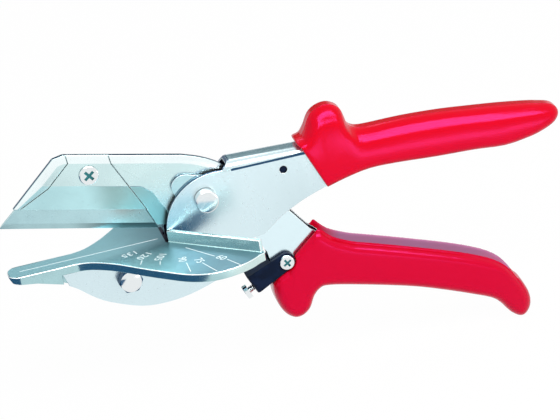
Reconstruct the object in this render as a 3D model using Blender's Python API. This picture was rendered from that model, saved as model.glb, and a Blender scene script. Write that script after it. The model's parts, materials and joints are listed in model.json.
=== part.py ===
"""Mitre shears for plastic and rubber sections, 215 mm long: a trapezoid blade on a squeezed arm closes on an
anvil whose table carries an angle scale and two 45 degree fences.

Frame: metres. X runs along the anvil towards the handles, Y away from the scale's side, Z up out of the table.
The origin is on the table's top face, in the blade's plane, at the point where the angle scale starts.

The fixed side is the upper handle with the anvil. The moving side is the lower handle with the blade. It is
modelled closed, with the blade on the anvil, and its empty then turns it open about the pivot.
"""

import math

import bmesh
import bpy
from mathutils import Matrix, Vector

# Gaps and layers, from the blade's plane outwards
fit_gap = 0.00025
running_gap = 0.00008
overrun = 0.004
holder_thickness = 0.0036
lower_sheet = 0.0011
upper_sheet = 0.0013

# Pivot
pivot_x = 0.01676
pivot_z = 0.0132
open_angle = math.radians(13.6)
pin_radius = 0.0028
pin_head_radius = 0.0044
pin_head_height = 0.0034
pin_rivet_height = 0.0016
pin_head_round = 0.0005
bush_wall = 0.0012
holder_rivet_radius = 0.00125
holder_rivet_offset = 0.0070

# Blade, clamp plate and holder
blade_length = 0.0603
blade_height = 0.0175
blade_thickness = 0.0009
blade_slant = math.radians(54.0)
blade_bevel_height = 0.0022
blade_edge_thickness = 0.0001
blade_heel_x = 0.0007
blade_pin_radius = 0.0012
holder_height = 0.0293
holder_lip_height = 0.0081
holder_edge_flat = 0.0018
holder_chamfer = 0.0029
holder_taper_start = 0.0176
holder_taper_depth = 0.0006
holder_heel_height = 0.0017
clamp_screw_reach = 0.0281
clamp_screw_z = 0.0219
clamp_screw_radius = 0.0019
clamp_head_radius = 0.0037
clamp_head_height = 0.0008

# Anvil with its table, fences and keel
nose_overhang = 0.0009
nose_half_width = 0.0055
nose_round = 0.0040
table_thickness = 0.0032
fan_reach = 0.0292
fan_half_width = 0.0430
fence_height = 0.0045
fence_thickness = 0.0018
beam_depth = 0.0070
keel_depth = 0.0172
tongue_reach = 0.0220
anvil_bolt_x = -0.0168
anvil_bolt_z = -0.0108
anvil_bolt_radius = 0.0024
anvil_bolt_across_flats = 0.0080
anvil_bolt_head_height = 0.0040
anvil_nut_height = 0.0036
anvil_washer_thickness = 0.0009
anvil_washer_radius = 0.0048
bolt_end = 0.0010

# Upper handle: folded sheet and grip
overall_length = 0.2154
plate_reach = 0.0632
fold_start = 0.0275
fold_height = 0.0245
fold_rise = 0.0012
fold_radius = 0.0028
plate_arc_radius = 0.0208
plate_arc_x = 0.0210
plate_arc_z = 0.0020
lens_reach = 0.0409
lens_depth = 0.0240
upper_grip_start = 0.0527
upper_grip_height = 0.0377
upper_grip_half_width = 0.0076
upper_tang_inset = 0.0140
spring_hole_x = 0.0474
spring_hole_z = 0.0175
spring_hole_radius = 0.0015
spring_pin_recess = 0.0006

# Lower handle: folded sheet and grip, both in the closed pose
lower_plate_reach = 0.0603
lower_plate_height = 0.0222
lower_boss_radius = 0.0090
lower_fold_radius = 0.0019
lower_fold_depth = 0.0194
lower_tang_height = 0.0080
lower_grip_start = 0.0454
lower_grip_length = 0.1020
lower_finger_stop_length = 0.0208
lower_grip_depth = 0.0363
lower_grip_half_width = 0.0074
lower_tang_inset = 0.0209
lower_channel_half_width = 0.0043

# Both grips
grip_crown = 0.0046
grip_edge_inset = 0.0032
grip_narrowing_share = 0.27
grip_end_width_share = 0.60

# Opening spring and its seats
spring_wire = 0.0008
spring_radius = 0.00205
spring_turns = 5
spring_boss_radius = 0.0030
spring_collar_length = 0.0034
spring_collar_radius = 0.0025
spring_peg_radius = 0.0013
spring_peg_length = 0.0014
spring_seat_x = 0.0459
spring_seat_disc = 0.0012
spring_seat_radius = 0.0027
spring_stem_radius = 0.0018
spring_stem_length = 0.0045

# Stop block with its screws, in the closed pose
stop_screw_x = 0.0494
stop_screw_z = -0.0120
stop_arm_angle = math.radians(218.5)
stop_arm_length = 0.0156
stop_arm_width = 0.0081
stop_half_depth = 0.0052
stop_eye_radius = 0.0033
stop_end_round = 0.0013
stop_screw_radius = 0.0016
stop_head_radius = 0.0028
stop_head_height = 0.0014
stop_nut_across_flats = 0.0055
stop_nut_height = 0.0024
adjuster_offset = 0.0021
adjuster_y = -0.0016
adjuster_radius = 0.0013
adjuster_reach = 0.0022
adjuster_depth = 0.0062
adjuster_travel = 0.0015
adjuster_head_radius = 0.0028
adjuster_head_height = 0.0020

# Drives in the screw heads
cross_width_share = 0.28
cross_length_share = 1.15
cross_depth_share = 0.55
slot_width_share = 0.36
slot_depth_share = 0.50

# Facets
round_steps = 32
small_round_steps = 20
curve_steps = 3
crown_steps = 4
wire_sides = 6
turn_points = 12
nonplanar_degrees = 0.01
holder_chamfer_fade = 6

# Worked out from the above
lower_inner_y = holder_thickness / 2 + fit_gap
lower_outer_y = lower_inner_y + lower_sheet
upper_inner_y = lower_outer_y + fit_gap
upper_outer_y = upper_inner_y + upper_sheet
bush_radius = pin_radius + running_gap + bush_wall
blade_edge_z = fit_gap
blade_tip_x = blade_heel_x - blade_length
blade_reach = pivot_x - blade_tip_x
clamp_screw_x = blade_heel_x - clamp_screw_reach
nose_reach = nose_overhang - blade_tip_x
upper_grip_length = overall_length - nose_reach - upper_grip_start
upper_tang_length = upper_grip_length - upper_tang_inset
lower_tang_length = lower_grip_length - lower_tang_inset
fence_end_y = upper_outer_y + fit_gap + fan_reach

# Outlines, as shares of the sizes that they follow
plate_edge_shares = [
    (1.0, 0.29), (0.862, 0.176), (0.747, 0.045), (0.661, -0.087), (0.593, -0.219), (0.56, -0.253),
    (0.51, -0.271),
]
lens_edge_shares = [
    (0.70, -0.30), (0.636, -0.49), (0.513, -0.70), (0.369, -0.838), (0.122, -0.958), (-0.117, -1.0),
    (-0.347, -0.958), (-0.621, -0.771), (-0.765, -0.612), (-0.88, -0.442), (-0.958, -0.35),
]
upper_tang_top_shares = [(0.116, 0.648), (0.348, 0.626), (0.557, 0.602), (0.742, 0.56), (0.870, 0.51)]
upper_tang_bottom_shares = [(0.928, 0.31), (0.638, 0.335), (0.348, 0.345), (0.209, 0.29)]
upper_tang_end_share = 0.45
upper_grip_top_shares = [
    (0.008, 0.7), (0.016, 0.724), (0.036, 0.738), (0.054, 0.81), (0.078, 0.928), (0.110, 0.99), (0.153, 1.004),
    (0.192, 0.94), (0.205, 0.838), (0.214, 0.75), (0.237, 0.697), (0.281, 0.679), (0.416, 0.674),
    (0.56, 0.647), (0.703, 0.599), (0.797, 0.563), (0.891, 0.519), (0.937, 0.489), (0.972, 0.462),
    (0.993, 0.418), (1.0, 0.362), (0.991, 0.306), (0.971, 0.26),
]
upper_grip_bottom_shares = [
    (0.93, 0.218), (0.875, 0.184), (0.776, 0.16), (0.657, 0.192), (0.513, 0.215), (0.369, 0.248),
    (0.263, 0.256), (0.173, 0.216), (0.1, 0.165),
]
upper_collar_shares = (0.024, 0.655)

lower_nose_shares = [(0.078, 0.675), (0.062, 0.77), (0.068, 0.872), (0.097, 0.963), (0.137, 1.0), (0.22, 0.985)]
lower_top_shares = [(0.33, 0.93), (0.447, 0.79), (0.545, 0.5), (0.62, 0.355)]
spring_ledge_share = 0.342
lower_ledge_end_share = 0.823
lower_mouth_shares = [(0.96, 0.022), (1.0, -0.03)]
lower_front_shares = [(0.70, -0.40), (0.60, -0.06), (0.50, 0.14)]
lower_tang_floor_shares = [(0.012, 1.0), (0.371, 1.0), (0.606, 1.035), (0.766, 1.1), (0.964, 1.245)]
lower_stop_bottom_shares = [
    (-0.008, -0.603), (0.05, -0.73), (0.158, -0.849), (0.298, -0.933), (0.464, -0.967), (0.618, -0.933),
    (0.73, -0.85), (0.784, -0.72), (0.882, -0.638), (1.01, -0.613),
]
lower_grip_bottom_shares = [
    (0.109, -0.609), (0.352, -0.63), (0.513, -0.666), (0.717, -0.741), (0.823, -0.803), (0.905, -0.953),
    (0.963, -1.0), (0.997, -0.925), (0.999, -0.806), (0.972, -0.68), (0.914, -0.52), (0.858, -0.408),
]
lower_grip_rim_shares = [
    (0.8, -0.34), (0.72, -0.287), (0.578, -0.23), (0.334, -0.164), (0.17, -0.126), (0.101, -0.109),
]
lower_mouth_rim_shares = [(1.025, -0.057), (0.824, 0.016), (0.747, 0.045)]
lower_lip_shares = [(0.699, 0.0), (0.311, -0.292)]
lower_channel_mouth_shares = [(-0.287, -0.472), (0.479, -0.472), (0.91, -0.325)]
lower_channel_shares = [
    (0.103, -0.295), (0.368, -0.32), (0.558, -0.364), (0.735, -0.45), (0.86, -0.515), (0.95, -0.585),
]

holder_top_shares = [
    (-0.760, 0.942), (-0.709, 1.0), (-0.127, 0.997), (-0.034, 0.966), (0.045, 0.908), (0.101, 0.836),
    (0.125, 0.778),
]
holder_heel_shares = [(0.142, 0.58), (0.128, 0.341), (0.055, 0.188), (-0.036, 0.15), (-0.115, 0.109)]
taper_edge_shares = [
    (-1.08, 1.03), (-0.758, 1.014), (-0.312, 0.974), (-0.257, 0.84), (-0.216, 0.614), (-0.178, 0.438),
]
clamp_left_shares = [(-0.6955, 1.0), (-0.683, 0.901), (-0.772, 0.56), (-0.9015, 0.276)]
clamp_right_shares = [(-0.2805, 0.276), (-0.4735, 0.894), (-0.489, 1.0)]

fan_near_shares = [
    (-0.587, 0.128), (-0.50, 0.163), (-0.402, 0.267), (-0.322, 0.384), (-0.223, 0.551), (-0.112, 0.726),
    (-0.002, 0.884),
]
fan_rim_shares = [(0.185, 0.841), (0.363, 1.0), (0.538, 0.976), (0.702, 0.832), (0.856, 0.577), (0.97, 0.279)]
keel_shares = [
    (-0.87, -0.56), (-0.68, -0.80), (-0.41, -0.985), (-0.12, -1.0), (0.15, -0.84), (0.40, -0.5), (0.53, -0.2),
]


def clear_scene():
    for old in list(bpy.data.objects):
        bpy.data.objects.remove(old, do_unlink=True)


def material(name, colour, roughness, metallic):
    made = bpy.data.materials.new(name)
    made.use_nodes = True
    shader = made.node_tree.nodes["Principled BSDF"]
    shader.inputs["Base Color"].default_value = (*colour, 1.0)
    shader.inputs["Roughness"].default_value = roughness
    shader.inputs["Metallic"].default_value = metallic
    made.diffuse_color = (*colour, 1.0)
    return made


def placed(shares, x_start, x_size, z_start, z_size):
    """Points of an outline from shares of two sizes."""
    return [(x_start + x * x_size, z_start + z * z_size) for x, z in shares]


def smooth(points, steps):
    """A Catmull-Rom curve through the points, both ends kept."""
    ends = [points[0], *points, points[-1]]
    curve = []
    for a, b, c, d in zip(ends, ends[1:], ends[2:], ends[3:]):
        for i in range(steps):
            t = i / steps
            point = []
            for p, q, r, s in zip(a, b, c, d):
                bent = (2 * p - 5 * q + 4 * r - s) * t ** 2 + (3 * q - p - 3 * r + s) * t ** 3
                point.append(q + ((r - p) * t + bent) / 2)
            curve.append(tuple(point))
    return curve + [points[-1]]


def arc(centre, radius, start, stop, steps):
    angles = [start + (stop - start) * i / steps for i in range(steps + 1)]
    return [(centre[0] + radius * math.cos(a), centre[1] + radius * math.sin(a)) for a in angles]


def circle(centre, radius, steps):
    return arc(centre, radius, 0, math.tau * (1 - 1 / steps), steps - 1)


def hexagon(centre, across_flats):
    return circle(centre, across_flats / math.sqrt(3), 6)


def area(points):
    return sum(a[0] * b[1] - b[0] * a[1] for a, b in zip(points, points[1:] + points[:1])) / 2


def inset(points, distances):
    """The outline with each edge moved inwards by its own distance. Edge i runs from point i to the next."""
    turn = math.copysign(1, area(points))
    count = len(points)
    normals = []
    for a, b in zip(points, points[1:] + points[:1]):
        along = Vector((b[0] - a[0], b[1] - a[1])).normalized()
        normals.append(Vector((-along.y, along.x)) * turn)
    moved = []
    for i, (x, z) in enumerate(points):
        before, after = normals[i - 1], normals[i]
        near, far = distances[(i - 1) % count], distances[i]
        across = before.x * after.y - before.y * after.x
        if abs(across) < math.sin(math.radians(12)):
            shift = (before + after) * (near + far) / 2 / (1 + before.dot(after))
        else:
            shift = Vector((near * after.y - far * before.y, far * before.x - near * after.x)) / across
        moved.append((x + shift.x, z + shift.y))
    return moved


def grown(points, distance):
    return inset(points, [-distance] * len(points))


def loft(rings):
    """A closed mesh through rings of equal count, each a list of (x, y, z), with both ends filled."""
    mesh = bmesh.new()
    made = [[mesh.verts.new(point) for point in ring] for ring in rings]
    for low, high in zip(made, made[1:]):
        for i in range(len(low)):
            j = (i + 1) % len(low)
            mesh.faces.new((low[i], low[j], high[j], high[i]))
    bmesh.ops.connect_verts_nonplanar(mesh, angle_limit=math.radians(nonplanar_degrees), faces=mesh.faces)
    mesh.faces.new(made[0])
    mesh.faces.new(made[-1])
    bmesh.ops.recalc_face_normals(mesh, faces=mesh.faces)
    return mesh


def plate(points, y_front, y_back):
    """An outline in X and Z, extruded along Y."""
    return loft([[(x, y, z) for x, z in points] for y in (y_front, y_back)])


def deck(points, z_low, z_high):
    """An outline in X and Y, extruded along Z."""
    return loft([[(x, y, z) for x, y in points] for z in (z_low, z_high)])


def edged_plate(points, weights, half_width, crown, edge_inset, steps):
    """A plate whose chosen edges turn over in an elliptic round, the same on both faces."""
    rings = []
    for i in range(steps + 1):
        turn = math.pi / 2 * i / steps
        y = half_width - crown + crown * math.sin(turn)
        distance = edge_inset * (1 - math.cos(turn))
        rings.append((y, inset(points, [distance * weight for weight in weights])))
    both = [(-y, ring) for y, ring in reversed(rings)] + rings
    return loft([[(x, y, z) for x, z in ring] for y, ring in both])


def narrowed(mesh, start_x, end_x):
    """The mesh made narrower along Y in a round curve, from a place on its length to its end."""
    fall = 1 - grip_end_width_share ** 2
    for vertex in mesh.verts:
        way = (vertex.co.x - start_x) / (end_x - start_x)
        if way > 0:
            vertex.co.y *= math.sqrt(1 - fall * min(1, way) ** 2)
    bmesh.ops.connect_verts_nonplanar(mesh, angle_limit=math.radians(nonplanar_degrees), faces=mesh.faces)
    return mesh


def turned(profile, steps):
    """A solid of revolution about Z from (radius, height) pairs, the first and last of them on the axis."""
    mesh = bmesh.new()
    rings = []
    for radius, height in profile[1:-1]:
        rings.append([mesh.verts.new((x, y, height)) for x, y in circle((0, 0), radius, steps)])
    bottom = mesh.verts.new((0, 0, profile[0][1]))
    top = mesh.verts.new((0, 0, profile[-1][1]))
    for low, high in zip(rings, rings[1:]):
        for i in range(steps):
            j = (i + 1) % steps
            mesh.faces.new((low[i], low[j], high[j], high[i]))
    for i in range(steps):
        j = (i + 1) % steps
        mesh.faces.new((bottom, rings[0][j], rings[0][i]))
        mesh.faces.new((top, rings[-1][i], rings[-1][j]))
    bmesh.ops.recalc_face_normals(mesh, faces=mesh.faces)
    return mesh


def aimed(mesh, place, direction):
    """The mesh turned so that its Z points along the direction, then moved to its place."""
    turn = Vector((0, 0, 1)).rotation_difference(Vector(direction)).to_matrix().to_4x4()
    mesh.transform(Matrix.Translation(Vector(place)) @ turn)
    return mesh


def across(mesh, x, z):
    """The mesh turned so that its Z points at the viewer along -Y, on the axis through (x, z)."""
    return aimed(mesh, (x, 0, z), (0, -1, 0))


def thing(name, mesh, finish=None, parent=None):
    """A named object from a mesh. Under a parent the mesh is moved so that the object's origin is the parent's."""
    data = bpy.data.meshes.new(name)
    if parent:
        mesh.transform(Matrix.Translation(-parent.location))
    mesh.to_mesh(data)
    mesh.free()
    data.shade_smooth()
    data.set_sharp_from_angle(angle=math.radians(30))
    made = bpy.data.objects.new(name, data)
    bpy.context.scene.collection.objects.link(made)
    made.parent = parent
    if finish:
        data.materials.append(finish)
    else:
        made.hide_render = True
        made.display_type = "WIRE"
    return made


def shaped(target, mesh, operation="DIFFERENCE"):
    """Cuts the mesh from the target, joins it, or keeps what they share."""
    tool = thing(f"{operation.lower()}_{target.name}_{len(target.modifiers)}", mesh, parent=target.parent)
    step = target.modifiers.new(tool.name, "BOOLEAN")
    step.operation = operation
    step.object = tool
    step.solver = "EXACT"
    return target


def bore(target, holes):
    """Round holes right through along Y, from (x, z, radius) each."""
    reach = stop_half_depth + overrun
    cylinders = bmesh.new()
    for x, z, radius in holes:
        steps = round_steps if radius > spring_boss_radius else small_round_steps
        piece = plate(circle((x, z), radius, steps), -reach, reach)
        data = bpy.data.meshes.new("bore")
        piece.to_mesh(data)
        piece.free()
        cylinders.from_mesh(data)
        bpy.data.meshes.remove(data)
    return shaped(target, cylinders)


def cross_drive(target, x, z, y_face, head_radius, head_height):
    """A cross recess in a head whose outer face is at y_face, towards the viewer."""
    arm = head_radius * cross_length_share / 2
    half = head_radius * cross_width_share / 2
    depth = head_height * cross_depth_share
    points = [
        (arm, -half), (arm, half), (half, half), (half, arm), (-half, arm), (-half, half),
        (-arm, half), (-arm, -half), (-half, -half), (-half, -arm), (half, -arm), (half, -half),
    ]
    return shaped(target, plate([(x + a, z + b) for a, b in points], y_face - overrun, y_face + depth))


def holder_outline():
    """The holder's side view, closed: tip, sloping front, top, heel, and the step over the blade's end."""
    blade_end = blade_tip_x + blade_length + fit_gap / math.sin(blade_slant)
    heel = (blade_end - (holder_heel_height - blade_edge_z) / math.tan(blade_slant), holder_heel_height)
    step = (blade_end - (holder_lip_height - blade_edge_z) / math.tan(blade_slant), holder_lip_height)
    tip = (blade_tip_x + holder_lip_height / math.tan(blade_slant) - holder_edge_flat / 2, holder_lip_height)
    top = placed(holder_top_shares, pivot_x, blade_reach, 0, holder_height)
    back = placed(holder_heel_shares, pivot_x, blade_reach, 0, holder_height)
    curved = smooth(top[2:] + back, curve_steps)
    back_end = (heel[0] + pin_radius, heel[1])
    outline = [tip, *top[:2], *curved, back_end, heel, step]
    chamfered = (len(top) - 1) * curve_steps
    weights = [min(1, max(0, (chamfered - i) / holder_chamfer_fade)) for i in range(len(outline))]
    return outline, weights


def holder_envelope():
    outline, weights = holder_outline()
    half = holder_thickness / 2
    rings = []
    for y, share in ((-half, 1), (-holder_edge_flat / 2, 0), (holder_edge_flat / 2, 0), (half, 1)):
        ring = inset(outline, [holder_chamfer * share * weight for weight in weights])
        rings.append([(x, y, z) for x, z in ring])
    return loft(rings)


def taper_cutter(side):
    """The wedge that thins the holder and its clamp plate towards the blade's edge, on one side."""
    points = placed(taper_edge_shares, pivot_x, blade_reach, 0, holder_taper_start)
    points += [(pivot_x - holder_lip_height, -overrun), (blade_tip_x - overrun, -overrun)]
    fall = holder_taper_depth / (holder_taper_start - holder_lip_height)
    inner = [
        (x, side * (holder_thickness / 2 - fall * (holder_taper_start - z)), z) for x, z in points
    ]
    outer = [(x, side * (holder_thickness / 2 + overrun), z) for x, z in points]
    return loft([inner, outer])


def blade_outline():
    lean = 1 / math.tan(blade_slant)
    end = blade_tip_x + blade_length
    rise = blade_height * lean
    top = blade_edge_z + blade_height
    return [(blade_tip_x, blade_edge_z), (end, blade_edge_z), (end - rise, top), (blade_tip_x + rise, top)]


def clamp_outline():
    left = placed(clamp_left_shares, pivot_x, blade_reach, 0, holder_height)
    right = placed(clamp_right_shares, pivot_x, blade_reach, 0, holder_height)
    return left + right


def blade_pin_places():
    middle = blade_tip_x + blade_length / 2
    spread = blade_length / 4
    height = blade_edge_z + blade_height * 0.64
    return {"blade_pin_front": (middle - spread, height), "blade_pin_rear": (middle + spread, height)}


def holder_rivet_places():
    """Both rivets lie under the upper handle's plates, one above and behind the pivot, one below and before it."""
    return {
        "holder_rivet_rear": (pivot_x + holder_rivet_offset, pivot_z + holder_rivet_radius),
        "holder_rivet_front": (pivot_x - holder_rivet_offset, pivot_z - holder_rivet_radius),
    }


def make_blade(arm, finish):
    """A trapezoid blade, ground to its edge from both faces, with two holes for the locating pins."""
    half = blade_thickness / 2
    blade = thing("blade", plate(blade_outline(), -half, half), finish, arm)
    fall = (half - blade_edge_thickness / 2) / blade_bevel_height
    low = blade_edge_z - blade_bevel_height
    high = blade_edge_z + blade_bevel_height
    ends = (blade_tip_x - overrun, blade_tip_x + blade_length + overrun)
    for side in (-1, 1):
        deep = half - fall * (high - low)
        wedge = [(half, high), (deep, low), (half + overrun, low), (half + overrun, high)]
        shaped(blade, loft([[(x, side * y, z) for y, z in wedge] for x in ends]))
    bore(blade, [(x, z, blade_pin_radius + fit_gap) for x, z in blade_pin_places().values()])


def make_holder(arm, finish):
    """The cast holder: slot for the blade, pocket for the clamp plate, and the bores for pivot, rivets and screws."""
    holder = thing("blade_holder", holder_envelope(), finish, arm)
    for side in (-1, 1):
        shaped(holder, taper_cutter(side))
    slot = blade_thickness / 2 + fit_gap
    shaped(holder, plate(grown(blade_outline(), 2 * fit_gap), -slot, slot))
    face = holder_thickness / 2
    pocket = grown(clamp_outline(), fit_gap)
    shaped(holder, plate(pocket, -face - overrun, fit_gap - slot))
    holes = [(x, z, holder_rivet_radius + fit_gap) for x, z in holder_rivet_places().values()]
    holes += [(x, z, blade_pin_radius + fit_gap) for x, z in blade_pin_places().values()]
    holes.append((pivot_x, pivot_z, bush_radius + fit_gap))
    holes.append((clamp_screw_x, clamp_screw_z, clamp_screw_radius + fit_gap))
    bore(holder, holes)


def make_clamp_plate(arm, finish):
    """The plate that presses the blade into the holder, cut from the same envelope so that its face is flush."""
    clamp = thing("blade_clamp_plate", holder_envelope(), finish, arm)
    shaped(clamp, taper_cutter(-1))
    back = -(blade_thickness / 2 + fit_gap)
    shaped(clamp, plate(clamp_outline(), -holder_thickness / 2 - overrun, back), "INTERSECT")
    bore(clamp, [(clamp_screw_x, clamp_screw_z, clamp_screw_radius + fit_gap)])


def make_clamp_screw(arm, finish):
    seat = holder_thickness / 2 + fit_gap
    face = seat + clamp_head_height
    rim = clamp_head_height / 3
    profile = [
        (0, -holder_thickness / 2), (clamp_screw_radius, -holder_thickness / 2), (clamp_screw_radius, seat),
        (clamp_head_radius, seat), (clamp_head_radius, face - rim), (clamp_head_radius - rim, face), (0, face),
    ]
    mesh = across(turned(profile, small_round_steps), clamp_screw_x, clamp_screw_z)
    screw = thing("clamp_screw", mesh, finish, arm)
    cross_drive(screw, clamp_screw_x, clamp_screw_z, -face, clamp_head_radius, clamp_head_height)


def make_small_pins(arm, finish):
    """Two pins locate the blade in its holder, and two flush rivets hold the holder between the handle's plates."""
    slot = blade_thickness / 2
    for name, (x, z) in blade_pin_places().items():
        profile = [(0, -slot), (blade_pin_radius, -slot), (blade_pin_radius, slot * 2), (0, slot * 2)]
        thing(name, aimed(turned(profile, small_round_steps), (x, 0, z), (0, 1, 0)), finish, arm)
    reach = lower_outer_y
    for name, (x, z) in holder_rivet_places().items():
        thing(name, plate(circle((x, z), holder_rivet_radius, small_round_steps), -reach, reach), finish, arm)


def make_pivot(arm, pin_finish, bush_finish):
    """A riveted pin through both handles, with a bush that turns on it with the blade's side."""
    ring = plate(circle((pivot_x, pivot_z), bush_radius, round_steps), -lower_outer_y, lower_outer_y)
    bush = thing("pivot_bush", ring, bush_finish, arm)
    bore(bush, [(pivot_x, pivot_z, pin_radius + running_gap)])
    seat = upper_outer_y + fit_gap
    face = seat + pin_head_height
    back = seat + pin_rivet_height
    profile = [
        (0, -back), (pin_head_radius - 2 * pin_head_round, -back), (pin_head_radius, pin_head_round - back),
        (pin_head_radius, -seat), (pin_radius, -seat), (pin_radius, seat), (pin_head_radius, seat),
        (pin_head_radius, face - pin_head_round), (pin_head_radius - pin_head_round / 2, face - pin_head_round / 4),
        (pin_head_radius - 2 * pin_head_round, face), (0, face + pin_head_round / 2),
    ]
    thing("pivot_pin", across(turned(profile, round_steps), pivot_x, pivot_z), pin_finish)


def upper_plate_outline():
    """The upper handle's side view: plate, lens below the table, folded top and tang. Returns the fold's edges too."""
    left = plate_arc_x - math.sqrt(plate_arc_radius ** 2 - plate_arc_z ** 2)
    start = math.acos((fold_start - plate_arc_x) / plate_arc_radius)
    stop = math.pi + plate_arc_z / plate_arc_radius
    round_edge = arc((plate_arc_x, plate_arc_z), plate_arc_radius, start, stop, 14)
    under = -(table_thickness + fit_gap)
    lens = placed(lens_edge_shares, 0, lens_reach, 0, lens_depth)
    edge = placed(plate_edge_shares, 0, plate_reach, 0, fold_height)
    top = placed(upper_tang_top_shares, upper_grip_start, upper_tang_length, 0, upper_grip_height)
    bottom = placed(upper_tang_bottom_shares, upper_grip_start, upper_tang_length, 0, upper_grip_height)
    end_x = upper_grip_start + upper_tang_length
    end = [(end_x, upper_grip_height * share) for share in (upper_tang_end_share, upper_tang_bottom_shares[0][1])]
    fold = smooth([(upper_grip_start, fold_height), *top, end[0]], curve_steps)
    outline = [(fold_start, fold_height + fold_rise), *fold, end[1], *bottom]
    outline += smooth([*edge, *lens], curve_steps)
    outline += [(-lens_reach, under), (left, under), *reversed(round_edge[1:])]
    return outline, len(fold)


def make_upper_shell(finish):
    """Sheet folded over its top edge, with the blade's arm between its two plates."""
    outline, folds = upper_plate_outline()
    weights = [1 if i < folds else 0 for i in range(len(outline))]
    mesh = edged_plate(outline, weights, upper_outer_y, fold_radius, fold_radius, crown_steps)
    shell = thing("upper_handle_shell", mesh, finish)
    lowered = inset(outline, [upper_sheet * weight for weight in weights])
    end_x = upper_grip_start + upper_grip_length
    low = -(lens_depth + overrun)
    hollow = [
        (-lens_reach - overrun, low), (-lens_reach - overrun, fold_height + overrun),
        (fold_start - overrun / 4, fold_height + overrun), (fold_start - overrun / 4, lowered[0][1]),
        *lowered[1:folds], (end_x, lowered[folds][1]), (end_x, low),
    ]
    inner_radius = fold_radius - upper_sheet
    hollow_weights = [1 if 3 <= i < folds + 3 else 0 for i in range(len(hollow))]
    shaped(shell, edged_plate(hollow, hollow_weights, upper_inner_y, inner_radius, inner_radius, crown_steps))
    bore(shell, [
        (pivot_x, pivot_z, pin_radius + fit_gap),
        (anvil_bolt_x, anvil_bolt_z, anvil_bolt_radius + fit_gap),
        (spring_hole_x, spring_hole_z, spring_hole_radius),
    ])


def make_upper_grip(finish):
    """Moulded sleeve with a thumb stop, open below as the folded sheet is."""
    x, length, height = upper_grip_start, upper_grip_length, upper_grip_height
    top = placed(upper_grip_top_shares, x, length, 0, height)
    bottom = placed(upper_grip_bottom_shares, x, length, 0, height)
    collar = (x + upper_collar_shares[0] * length, upper_collar_shares[1] * height)
    outline = smooth([*top, *bottom], curve_steps) + [collar]
    weights = [0 if i >= len(outline) - 2 else 1 for i in range(len(outline))]
    mesh = edged_plate(outline, weights, upper_grip_half_width, grip_crown, grip_edge_inset, crown_steps)
    mesh = narrowed(mesh, x + length * (1 - grip_narrowing_share), x + length)
    grip = thing("upper_grip", mesh, finish)
    shell, folds = upper_plate_outline()
    raised = grown(shell, fit_gap)
    end = x + upper_tang_length + fit_gap
    room = [(fold_start, raised[1][1]), *raised[1:folds], (end, raised[folds][1])]
    room += [(end, -overrun), (fold_start, -overrun)]
    room_weights = [1 if i < folds else 0 for i in range(len(room))]
    radius = fold_radius
    shaped(grip, edged_plate(room, room_weights, upper_outer_y + fit_gap, radius, radius, crown_steps))


def make_spring(arm, spring_finish, seat_finish, pin_finish):
    """The opening spring presses the lower handle's plates away from a boss pinned between the upper ones."""
    boss = Vector((spring_hole_x, 0, spring_hole_z))
    ledge = lower_plate_height * spring_ledge_share
    closed_seat = Vector((spring_seat_x, 0, ledge + fit_gap + spring_seat_disc))
    turn = Matrix.Rotation(open_angle, 4, "Y")
    seat = arm.location + turn @ (closed_seat - arm.location)
    down = (seat - boss).normalized()
    half = lower_outer_y
    mesh = plate(circle((boss.x, boss.z), spring_boss_radius, small_round_steps), -half, half)
    upper = thing("spring_seat_upper", mesh, seat_finish)
    peg = spring_collar_length + spring_peg_length
    profile = [
        (0, 0), (spring_collar_radius, 0), (spring_collar_radius, spring_collar_length),
        (spring_peg_radius, spring_collar_length), (spring_peg_radius, peg), (0, peg),
    ]
    shaped(upper, aimed(turned(profile, small_round_steps), boss, down), "UNION")
    bore(upper, [(boss.x, boss.z, spring_hole_radius)])
    reach = upper_outer_y - spring_pin_recess
    pin_outline = circle((boss.x, boss.z), spring_hole_radius - fit_gap, small_round_steps)
    thing("spring_pin", plate(pin_outline, -reach, reach), pin_finish)
    up = turn.inverted() @ (boss - seat)
    low = -(spring_seat_disc + spring_stem_length)
    profile = [
        (0, low), (spring_stem_radius, low), (spring_stem_radius, -spring_seat_disc),
        (spring_seat_radius, -spring_seat_disc), (spring_seat_radius, 0), (spring_peg_radius, 0),
        (spring_peg_radius, spring_peg_length), (0, spring_peg_length),
    ]
    thing("spring_seat_lower", aimed(turned(profile, small_round_steps), closed_seat, up), seat_finish, arm)
    thing("opening_spring", coil(boss + down * spring_collar_length, seat, down), spring_finish)


def coil(start, end, along):
    """An unbroken helix of wire between two seats, clear of both by the fit gap."""
    side = along.orthogonal().normalized()
    other = along.cross(side)
    margin = fit_gap + spring_wire / 2
    length = (end - start).length - 2 * margin
    count = spring_turns * turn_points
    rings = []
    for i in range(count + 1):
        angle = math.tau * i / turn_points
        radial = side * math.cos(angle) + other * math.sin(angle)
        centre = start + along * (margin + length * i / count) + radial * spring_radius
        ring = []
        for k in range(wire_sides):
            around = math.tau * k / wire_sides
            ring.append(centre + (radial * math.cos(around) + along * math.sin(around)) * spring_wire / 2)
        rings.append(ring)
    print("least gap between turns, mm:", round(1000 * (length / spring_turns - spring_wire), 2))
    return loft(rings)


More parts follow.
